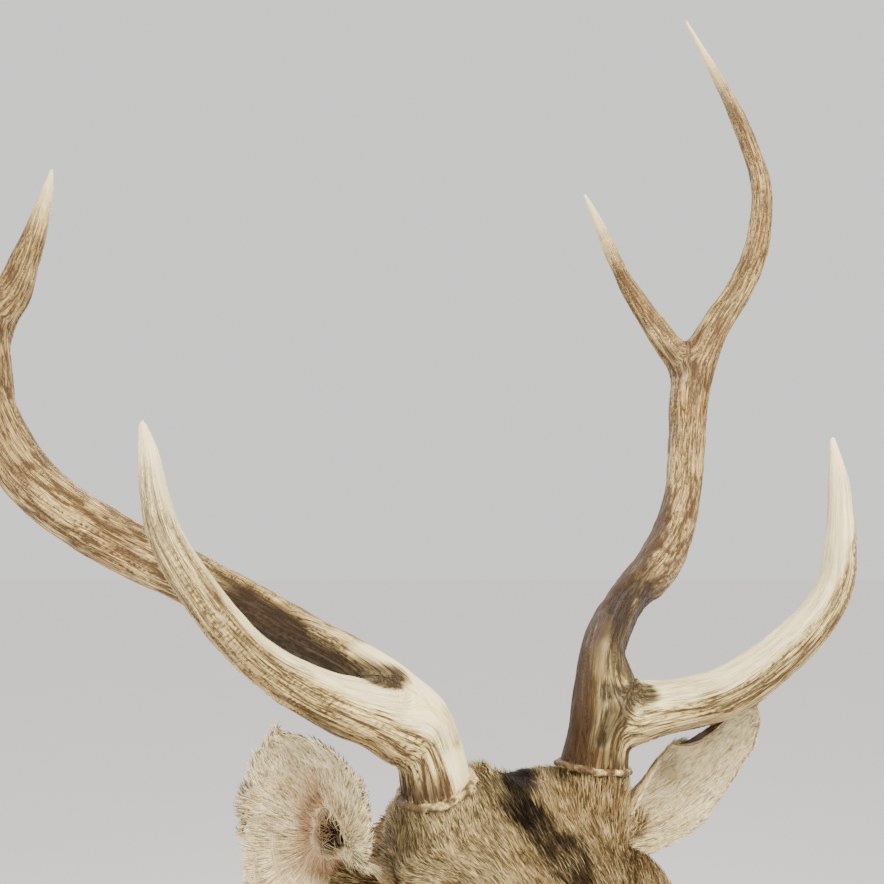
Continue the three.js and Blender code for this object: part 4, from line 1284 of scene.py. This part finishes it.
def worn_bone(side_name, b):
    """1 on the smooth bone: a strip on the base's inner side that runs on up the brow tine's upper side."""
    if side_name == "right":
        edge = np.interp(b.along, [0, 14, 34, 60], [0.32, 0.12, -0.22, -0.5])
        on_base = step(b.inward + 0.12 * b.patch, edge - 0.1, edge + 0.12)
        strip = np.interp(b.along_brow, [50, 100], [-0.15, 0.42])
        reach = step(b.along + 10 * b.patch, 88, 64)
    else:
        on_base = bell(b.inward - 0.22 + 0.12 * b.patch, 0.3)
        on_base = on_base * step(b.along, 14, 30) * step(b.along + 16 * b.patch, 104, 72)
        strip, reach = 0.16, 1.0
    on_brow = step(b.over + 0.2 * b.cloud + 0.15 * b.patch, strip, strip + 0.4)
    return np.maximum(b.brow * on_brow, on_base * (1 - b.brow) * reach) * (1 - b.inner)


def bone_stain(side_name, b, tine, tine_radius):
    """1 in the hollow on the beam's side that faces the brow tine, and in the crotch: stain and painted shade
    together.
    """
    index, to_tine = near_on(tine, tine_radius, b.h)
    # painted shade: the beam's side that faces the brow tine and lies close to it turns dark
    facing = dot(b.n, unit(tine[index] - b.h))
    stain = (1 - b.brow) * (1 - b.inner) * step(facing + 0.12 * b.patch, -0.12, 0.22)
    stain = stain * (1 - step(to_tine, 85, 140)) * step(b.along, 38, 54)
    # painted shade in the web of the crotch as well
    web = bell(b.gap_beam - b.gap_brow, 5) * (1 - b.base) * step(b.along, 45, 55)
    web = web * (1 - step(b.along, 95, 130)) * step(to_tine, 30, 2)
    stain = np.maximum(stain, 0.75 * web * (b.over > -0.2))
    for line, wide in STAIN_AND_SHADE_LINES[side_name]:
        gap, _ = stroke(b.h, line)
        near_line = 1 - step(gap + 2.2 * b.patch, wide * 0.55, wide * 1.2)
        stain = np.maximum(stain, 0.9 * near_line * (1 - b.inner))
    return stain


def bone_wear(side_name, b, paths):
    """How smooth, how stained and painted with shade, and how rough the bone is."""
    smooth = worn_bone(side_name, b)
    stain = bone_stain(side_name, b, paths[1][1], paths[1][2])
    if side_name == "left":
        # a streaked, rough strip up the middle of the base
        middle = bell(b.inward + 0.02 + 0.12 * b.patch, 0.2) * (b.n[:, 1] < 0)
        middle = middle * step(b.along, 4, 12) * (1 - step(b.along, 44, 60))
        stain = np.maximum(stain, 0.4 * middle * step(b.patch + 0.012 * b.along, -0.3, 0.4))
        smooth = smooth * (1 - middle)
    smooth = smooth * (1 - stain)
    rough = (1 - np.where(b.brow > 0.5, 0.7, 0.9) * smooth) * (1 - 0.9 * b.tip) * (1 - 0.4 * b.pale_end)
    return smooth, stain, rough


def left_beam_tones(tone, b, stain):
    """The left beam's own: a tan trunk with a dark upper part and painted shade on its inner edge, and painted
    shade on its inner side above.
    """
    beam = (1 - b.brow) * (1 - b.inner)
    trunk = beam * step(b.along + 14 * b.patch, 185, 125)
    upper_part = step(b.along + 10 * b.patch, 50, 76) * step(b.inward + 0.2 * b.cloud, -0.75, -0.35)
    edge = np.interp(b.along, [90, 140, 180, 240, 300, 360], [0.3, 0.12, -0.12, 0.1, 0.45, 0.85])
    shaded = beam * step(b.inward + 0.12 * b.patch, edge - 0.12, edge + 0.12)
    shaded = shaded * step(b.along, 50, 70) * (1 - step(b.along, 320, 375))
    return paint(
        tone,
        (srgb(102, 82, 42), 0.92 * trunk * step(b.inward + 0.1 * b.patch, -0.5, -0.1) * (1 - stain)),
        # painted shade along the trunk's inner edge
        (srgb(58, 38, 14), 0.9 * trunk * step(b.inward + 0.12 * b.patch, 0.42, 0.78)),
        (srgb(58, 42, 20), 0.86 * trunk * upper_part),
        # painted shade on the beam's inner side above the trunk
        (srgb(62, 42, 20), 0.9 * shaded),
    )


def bone_tones(side_name, b, smooth, stain):
    on_beam = (1 - b.brow) * step(b.along, 70, 165)
    low_side = step(-b.over, 0.1, 0.8) * b.brow
    tone = paint(
        srgb(248, 222, 150),
        (srgb(196, 158, 98), np.clip(on_beam * (0.72 + 0.3 * b.cloud), 0, 1) * (1 - b.tip)),
        (srgb(150, 122, 88), 0.5 * on_beam * step(np.abs(b.cloud + 0.4 * b.patch), 0.35, 0.1)),
        (srgb(251, 233, 178), np.maximum(0.9 * smooth, 0.75 * b.ivory)),
        (srgb(206, 160, 104), 0.45 * low_side * (1 - b.pale_end)),
        # the dark of the stain and the painted shade
        (srgb(42, 25, 8), 0.94 * stain),
    )
    if side_name == "left":
        tone = left_beam_tones(tone, b, stain)
    streaky = noise(b.h / [4, 4, 22], 91) - 1.1 * b.inward * (side_name == "right")
    foot_stain = step(b.along, 22 - 12 * (b.inward > 0.4), 4) * step(streaky, -0.25, 0.35)
    # painted shade in the crotch between the beam and the inner tine
    fork_shade = bell(b.gap_beam - b.gap_inner, 7) * step(b.along, 180, 230)
    fork_shade = fork_shade * bell(np.minimum(b.gap_beam, b.gap_inner), 9)
    tone = paint(
        tone,
        (srgb(62, 38, 28), 0.88 * foot_stain * b.base),
        (srgb(112, 96, 78), 0.55 * fork_shade * (np.abs(b.gap_inner) < 14)),
    )
    return np.clip(tone * (1 + 0.1 * fbm(b.h / 22, 2, 93))[:, None], 0, 1)


def bone_layers(mesh, tone, grain, **values):
    """What the bone's material reads: its tone, its single values and its own coordinates."""
    attribute(mesh, "tone", tone, "FLOAT_COLOR")
    for name, value in values.items():
        attribute(mesh, name, value)
    attribute(mesh, "grain", grain * MM, "FLOAT_VECTOR")
    mesh.materials.append(BONE)


def make_antler(side_name):
    paths = antler_paths(side_name)
    plug = burr_rings(side_name, PLUG_PROFILE, 0.3)
    bodies = [loft(tube(path, radius, 48)) for _, path, radius, _ in paths] + [loft(plug)]
    obj = welded(f"antler_{side_name}_bone", bodies, BONE_VOXEL, BONE_SMOOTHING)
    mesh = obj.data
    h, n = places(mesh), normals_of(mesh)
    grain, gaps, places_on = grain_of(h, paths)
    # a web where each tine leaves the beam
    beam_i, beam_gap = near_on(paths[0][1], paths[0][2], h)
    web = np.zeros(len(h))
    for number, reach in ((1, 20.0), (2, 13.0)):
        _, tine_gap = near_on(paths[number][1][6:], paths[number][2][6:], h)
        web = web + reach / 4 * np.clip(1 - np.abs(beam_gap - tine_gap) / reach, 0, 1) ** 2
    h = h + n * (web * step(paths[0][3][beam_i], 12, 34))[:, None]
    b = bone_places(side_name, h, n, gaps, places_on)
    smooth, stain, rough = bone_wear(side_name, b, paths)
    tone = bone_tones(side_name, b, smooth, stain)
    # long grooves, deepest low on the beam
    warp = np.stack([noise(grain / [9, 9, 44], 71), noise(grain / [9, 9, 44], 72), 0 * b.along], 1)
    grain = grain + 1.2 * warp
    groove = bell(fbm(grain / [4.0, 4.0, 62], 2, 73), 0.17)
    fine = bell(fbm(grain / [1.9, 1.9, 34], 2, 77), 0.2)
    ribs = step(b.along, 52, 12) * b.base
    push = -rough * (0.7 * groove * (1 + ribs) + 0.3 * fine)
    push = push + 0.5 * noise(h / 16, 83) * (1 - b.ivory) - 3.4 * stain * step(b.along, 50, 75)
    set_places(mesh, to_wall(h + n * push[:, None]))
    bone_layers(
        mesh, tone, grain, groove=np.clip(groove * 0.85 + 0.35 * fine, 0, 1) * rough,
        rough=np.clip(rough + 0.25 * stain, 0, 1), stain=stain, ivory=np.clip(b.ivory, 0, 1),
    )
    mesh.polygons.foreach_set("use_smooth", np.ones(len(mesh.polygons), bool))
    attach(obj, "root")
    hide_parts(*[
        f"antler_{side_name}_{part}" for part in ("base", "beam", "outer_tine", "brow_tine", "inner_tine")
    ])
    make_burr(side_name)
    return obj


def make_burr(side_name):
    """The knobbed ring of bone at the antler's foot."""
    points, faces = outward(*loft(burr_rings(side_name, BURR_PROFILE, 1.1)))
    obj = object_from(f"burr_{side_name}", to_wall(points), faces)
    lumps = fbm(points / 5.0, 2, 95)
    _, top, _ = pedicle(side_name)
    inward = (points[:, 0] - top[0]) / 20 if side_name == "right" else -0.8
    tone = mix(srgb(236, 208, 146), srgb(70, 46, 24), 0.9 * step(lumps - 0.55 * inward, -0.35, 0.45))
    none = np.zeros(len(points))
    bone_layers(obj.data, tone, points, groove=0.5 * bell(lumps, 0.12), rough=none + 0.55, stain=none, ivory=none)
    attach(obj, "root")


# ---- materials ----

class Nodes:
    """A material's node tree, written as calls."""

    def __init__(self, name):
        self.material = bpy.data.materials.new(name)
        self.material.use_nodes = True
        self.tree = self.material.node_tree
        self.shader = self.tree.nodes["Principled BSDF"]

    def add(self, kind, inputs=None, **settings):
        node = self.tree.nodes.new(kind)
        for key, value in settings.items():
            setattr(node, key, value)
        for key, value in (inputs or {}).items():
            self.put(node.inputs[key], value)
        return node

    def put(self, socket, value):
        if isinstance(value, bpy.types.NodeSocket):
            self.tree.links.new(value, socket)
        elif hasattr(socket.default_value, "__len__") and len(socket.default_value) == 4 and len(value) == 3:
            socket.default_value = (*value, 1.0)
        else:
            socket.default_value = value

    def set(self, **inputs):
        for key, value in inputs.items():
            self.put(self.shader.inputs[key.replace("_", " ")], value)

    def attr(self, name, out="Fac"):
        return self.add("ShaderNodeAttribute", attribute_name=name).outputs[out]

    def math(self, kind, a, b=0.0, clamp=False):
        node = self.add("ShaderNodeMath", operation=kind, use_clamp=clamp)
        self.put(node.inputs[0], a)
        self.put(node.inputs[1], b)
        return node.outputs[0]

    def mix(self, factor, a, b, kind="MIX"):
        node = self.add("ShaderNodeMix", data_type="RGBA", blend_type=kind)
        self.put(node.inputs[0], factor)
        self.put(node.inputs[6], a)
        self.put(node.inputs[7], b)
        return node.outputs[2]

    def span(self, value, lo, hi, to_lo=0.0, to_hi=1.0):
        node = self.add("ShaderNodeMapRange")
        for k, v in enumerate((value, lo, hi, to_lo, to_hi)):
            self.put(node.inputs[k], v)
        return node.outputs[0]

    def scaled(self, vector, *scale):
        node = self.add("ShaderNodeVectorMath", operation="MULTIPLY")
        self.put(node.inputs[0], vector)
        node.inputs[1].default_value = scale
        return node.outputs[0]

    def noise(self, vector, scale, detail=3.0, rough=0.55):
        inputs = {"Vector": vector, "Scale": scale, "Detail": detail, "Roughness": rough}
        return self.add("ShaderNodeTexNoise", inputs).outputs[0]

    def cells(self, vector, scale, **settings):
        return self.add("ShaderNodeTexVoronoi", {"Vector": vector, "Scale": scale}, **settings).outputs[0]

    def place(self):
        return self.add("ShaderNodeTexCoord").outputs["Object"]

    def times(self, a, *others):
        for other in others:
            a = self.math("MULTIPLY", a, other)
        return a

    def near_middle(self, value, lo, hi):
        """1 in thin lines where a noise is at its middle value, 0 away from them."""
        return self.span(self.math("ABSOLUTE", self.math("SUBTRACT", value, 0.5)), lo, hi, 1.0, 0.0)

    def bump(self, height, strength, distance, before=None):
        node = self.add("ShaderNodeBump", {"Height": height, "Strength": strength, "Distance": distance})
        if before is not None:
            self.put(node.inputs["Normal"], before)
        return node.outputs[0]


def coat_material():
    m = Nodes("coat_hair")
    tip, own = m.attr("tip"), m.attr("own")
    tone, under = m.attr("tone", "Color"), m.attr("root_tone", "Color")
    band = m.span(m.math("ADD", tip, m.times(own, 0.3)), 0.05, 0.75)
    colour = m.mix(band, under, tone)
    patch = m.span(m.noise(m.place(), 420.0, 3.0), 0.3, 0.7, 0.78, 1.16)
    node = m.add("ShaderNodeVectorMath", operation="SCALE")
    m.put(node.inputs[0], colour)
    m.put(node.inputs["Scale"], patch)
    m.set(Base_Color=node.outputs[0], Roughness=m.span(own, 0, 1, 0.5, 0.7))
    m.set(Specular_IOR_Level=0.12)
    return m.material


def skin_material():
    m = Nodes("skin_hide")
    tone, bare_part = m.attr("tone", "Color"), m.attr("bare")
    lay = m.attr("lie", "Vector")
    streak = m.noise(m.scaled(lay, 1.0, 0.09, 1.0), 1500.0, 3.0)
    blotch = m.noise(m.place(), 160.0, 4.0)
    fur = m.mix(m.span(streak, 0.3, 0.7), m.mix(1.0, tone, (0.40, 0.36, 0.33), "MULTIPLY"), tone)
    fur = m.mix(m.span(blotch, 0.35, 0.7, 0.0, 0.3), fur, m.mix(1.0, fur, (0.5, 0.45, 0.4), "MULTIPLY"))
    cells = m.cells(m.place(), 620.0)
    leather = m.mix(m.span(cells, 0.0, 0.6), (0.006, 0.005, 0.004), (0.020, 0.016, 0.014))
    m.set(Base_Color=m.mix(bare_part, fur, leather), Roughness=m.span(bare_part, 0, 1, 0.75, 0.42))
    m.set(Specular_IOR_Level=0.14)
    hair_bump = m.bump(streak, 0.55, 0.0006)
    m.set(Normal=m.bump(m.times(cells, bare_part), 0.6, 0.0007, hair_bump))
    return m.material


def bone_material():
    m = Nodes("antler_bone")
    grain, tone = m.attr("grain", "Vector"), m.attr("tone", "Color")
    groove, rough, ivory, stain = m.attr("groove"), m.attr("rough"), m.attr("ivory"), m.attr("stain")
    # grooves and hair lines along the bone, broken here and there
    ridge = m.near_middle(m.noise(m.scaled(grain, 1.0, 1.0, 0.045), 400.0, 4.0, 0.6), 0.012, 0.06)
    hair_line = m.near_middle(m.noise(m.scaled(grain, 1.0, 1.0, 0.05), 860.0, 3.0, 0.6), 0.01, 0.055)
    broken = m.span(m.noise(m.scaled(grain, 1.0, 1.0, 0.11), 240.0, 2.0), 0.3, 0.5)
    cut = m.math("MULTIPLY", m.math("MAXIMUM", m.times(ridge, broken), groove), rough, True)
    cut = m.math("ADD", cut, m.times(hair_line, 0.5, rough), True)
    # the grooves are darker still under the stain and painted shade
    groove_tone = m.mix(m.times(stain, 0.8), (0.062, 0.028, 0.008), (0.010, 0.005, 0.001))
    colour = m.mix(m.times(cut, 0.96), tone, groove_tone)
    # paler streaks between them
    light = m.span(m.noise(m.scaled(grain, 1.0, 1.0, 0.06), 300.0, 3.0), 0.35, 0.68, 0.0, 0.6)
    clear = m.math("SUBTRACT", m.math("SUBTRACT", 1.0, cut, True), stain, True)
    colour = m.mix(m.times(light, clear), colour, m.mix(1.0, colour, (1.34, 1.42, 1.6), "MULTIPLY"))
    # pores, and fine cracks in the ivory ends
    pore = m.span(m.cells(m.scaled(grain, 1.0, 1.0, 0.5), 170.0), 0.03, 0.1, 1.0, 0.0)
    some = m.span(m.noise(m.scaled(grain, 1.0, 1.0, 0.6), 90.0, 2.0), 0.54, 0.62)
    colour = m.mix(m.times(pore, some, 0.7), colour, (0.06, 0.035, 0.02))
    crack = m.cells(m.scaled(grain, 1.0, 1.0, 0.45), 130.0, feature="DISTANCE_TO_EDGE")
    crack = m.times(m.span(crack, 0.0, 0.035, 1.0, 0.0), ivory, m.span(m.noise(grain, 55.0, 2.0), 0.5, 0.6))
    colour = m.mix(m.times(crack, 0.55), colour, (0.16, 0.09, 0.04))
    m.set(Base_Color=colour, Roughness=m.span(cut, 0, 1, 0.38, 0.62))
    m.set(Specular_IOR_Level=0.26)
    first = m.bump(m.math("SUBTRACT", 1.0, cut), 0.8, 0.0007)
    m.set(Normal=m.bump(m.noise(grain, 1400.0, 3.0), 0.12, 0.0004, first))
    return m.material


# the eye, in metres: half the pupil's width and height, and where the iris's dark rim starts and is full
PUPIL_HALF = (0.0072, 0.0034)
IRIS_RIM = (0.0112, 0.0128)


def eye_material():
    m = Nodes("eye_glass")
    split = m.add("ShaderNodeSeparateXYZ", {0: m.attr("gaze", "Vector")})
    across, up = split.outputs[0], split.outputs[1]
    corner = [
        m.math("POWER", m.math("ABSOLUTE", m.math("DIVIDE", way, half)), 2.6)
        for way, half in zip((across, up), PUPIL_HALF)
    ]
    pupil = m.span(m.math("ADD", *corner), 0.85, 1.15, 1.0, 0.0)
    far = m.math("SQRT", m.math("ADD", m.times(across, across), m.times(up, up)))
    ray = m.add("ShaderNodeCombineXYZ", {0: m.times(m.math("ARCTAN2", up, across), 9.0), 1: m.times(far, 120.0)})
    fibre = m.noise(ray.outputs[0], 3.0, 3.0)
    iris = m.mix(m.span(fibre, 0.3, 0.7), (0.035, 0.014, 0.006), (0.12, 0.052, 0.018))
    rim = m.span(far, *IRIS_RIM)
    colour = m.mix(rim, m.mix(pupil, iris, (0.002, 0.002, 0.003)), (0.012, 0.009, 0.008))
    m.set(Base_Color=colour, Roughness=0.22, Specular_IOR_Level=0.2, Coat_Weight=0.55, Coat_Roughness=0.02)
    return m.material


def wood_material():
    m = Nodes("board_walnut")
    place = m.place()
    wave = m.add("ShaderNodeTexWave", {
        "Vector": m.scaled(place, 1.0, 1.0, 0.12), "Scale": 22.0, "Distortion": 5.0, "Detail": 3.0,
        "Detail Scale": 1.6,
    })
    pores = m.noise(m.scaled(place, 1.0, 1.0, 0.03), 1400.0, 3.0, 0.6)
    rings = m.mix(wave.outputs[1], (0.10, 0.042, 0.018), (0.23, 0.11, 0.05))
    colour = m.mix(m.span(pores, 0.52, 0.68, 0.0, 0.7), rings, (0.03, 0.012, 0.006))
    m.set(Base_Color=colour, Roughness=m.span(pores, 0.3, 0.7, 0.36, 0.55), Specular_IOR_Level=0.45)
    m.set(Normal=m.bump(pores, 0.25, 0.0004))
    return m.material


def steel_material():
    m = Nodes("hanger_steel")
    place = m.place()
    brush = m.noise(m.scaled(place, 0.04, 1.0, 1.0), 2600.0, 2.0)
    dull = m.noise(place, 210.0, 4.0)
    colour = m.mix(m.span(dull, 0.4, 0.7), (0.42, 0.43, 0.45), (0.26, 0.25, 0.24))
    m.set(Base_Color=colour, Metallic=0.92, Roughness=m.span(brush, 0.3, 0.7, 0.28, 0.5))
    m.set(Normal=m.bump(brush, 0.15, 0.0002))
    return m.material


COAT, SKIN, BONE = coat_material(), skin_material(), bone_material()
EYE_LOOK, WOOD, STEEL = eye_material(), wood_material(), steel_material()


# ---- assembly ----

def finish_skin(skin):
    mesh = skin.data
    p = places(mesh)
    angle, along, _ = spine_place(p)
    attribute(mesh, "tone", np.clip(markings(p) * 0.8, 0, 1), "FLOAT_COLOR")
    attribute(mesh, "bare", bare(p))
    attribute(mesh, "lie", np.stack([angle * 0.08, along * MM, 0 * along], 1), "FLOAT_VECTOR")
    mesh.materials.append(SKIN)
    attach(skin, "root")
    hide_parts("head", "muzzle", "nose_pad", "lower_jaw", "neck", "shoulders")


def make_eye(side_name):
    middle, out, nose, up = eye_frame(side_name)
    theta, phi = np.linspace(0, np.pi, 49), np.linspace(0, 2 * np.pi, 96, endpoint=False)
    radius = EYE_RADIUS - 0.5 + 0.5 * bell(theta, 0.5)
    wide = (radius * np.sin(theta))[:, None]
    ring = np.stack([(radius * np.cos(theta))[:, None] + 0 * phi, wide * np.cos(phi), wide * np.sin(phi)], -1)
    points, faces = loft(ring[1:-1])
    wall = to_wall(middle + points[:, :1] * out + points[:, 1:2] * nose + points[:, 2:] * up)
    wall, faces = outward(wall, faces)
    obj = object_from(f"glass_eye_{side_name}", wall, faces)
    attribute(obj.data, "gaze", np.stack([points[:, 1], points[:, 2], points[:, 0]], 1) * MM, "FLOAT_VECTOR")
    obj.data.materials.append(EYE_LOOK)
    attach(obj, "root")
    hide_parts(f"eye_{side_name}")


skin = make_skin()
finish_skin(skin)
coat_on_skin(skin)
for side_name in SIDES:
    make_ear(side_name)
    make_antler(side_name)
for side_name in SIDES:
    make_eye(side_name)
# this name is the CAD's own plain steel, as the steel made here came second and has a number after its name
PLAIN_STEEL = bpy.data.materials["hanger_steel"]
looks = {"backboard": WOOD, "hanger_plate": STEEL, "hanger_screw_1": PLAIN_STEEL, "hanger_screw_2": PLAIN_STEEL}
for node_name, look in looks.items():
    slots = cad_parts[node_name].data.materials
    slots.clear()
    slots.append(look)


# ---- floor, light and camera ----

FLOOR = -620.0
FLOOR_HALF = 20000.0
WORLD_TONE, WORLD_STRENGTH = (0.86, 0.85, 0.83, 1), 1.22
# in metres and watts: place, what it points at, width, power, tone
LIGHTS = {
    "key": ((0.75, -1.35, 1.55), (0.02, -0.25, 0.35), 0.6, 55, (1.0, 0.92, 0.81)),
    "fill": ((-1.2, -1.6, 0.6), (0.0, -0.3, 0.3), 1.4, 21, (1.0, 0.97, 0.92)),
    "rim": ((-0.7, 1.1, 1.4), (0.0, -0.2, 0.4), 1.0, 12, (1.0, 0.98, 0.95)),
}
# in metres and degrees; the lens and sensor in millimetres
CAMERA_AT, CAMERA_TILT, LENS = (-0.0144, -0.8798, 0.4306), 96, 36


def make_stage():
    corners = np.array([[-1, -1], [1, -1], [1, 1], [-1, 1]]) * FLOOR_HALF
    points = np.column_stack([corners, np.full(4, FLOOR)])
    floor = object_from("floor", points, np.arange(4)[None])
    m = Nodes("floor_paper")
    tone = m.mix(m.noise(m.place(), 3.0, 3.0), (0.93, 0.92, 0.90), (0.96, 0.95, 0.93))
    m.set(Base_Color=tone, Roughness=0.9, Specular_IOR_Level=0.0)
    floor.data.materials.append(m.material)
    world = bpy.data.worlds.new("studio")
    bpy.context.scene.world = world
    world.use_nodes = True
    background = world.node_tree.nodes["Background"]
    background.inputs[0].default_value = WORLD_TONE
    background.inputs[1].default_value = WORLD_STRENGTH


def area_light(name, at, target, size, power, colour):
    lamp = bpy.data.lights.new(name, "AREA")
    lamp.shape, lamp.size, lamp.size_y = "RECTANGLE", size, size * 0.8
    lamp.energy, lamp.color = power, colour
    obj = bpy.data.objects.new(name, lamp)
    bpy.context.scene.collection.objects.link(obj)
    obj.location = at
    obj.rotation_euler = (Vector(target) - Vector(at)).to_track_quat("-Z", "Y").to_euler()


def make_camera():
    data = bpy.data.cameras.new("camera")
    data.sensor_width, data.lens = 36, LENS
    data.clip_start = 0.01
    camera = bpy.data.objects.new("camera", data)
    bpy.context.scene.collection.objects.link(camera)
    camera.location = CAMERA_AT
    camera.rotation_euler = (math.radians(CAMERA_TILT), 0, 0)
    bpy.context.scene.camera = camera


make_stage()
for name, settings in LIGHTS.items():
    area_light(name, *settings)
make_camera()
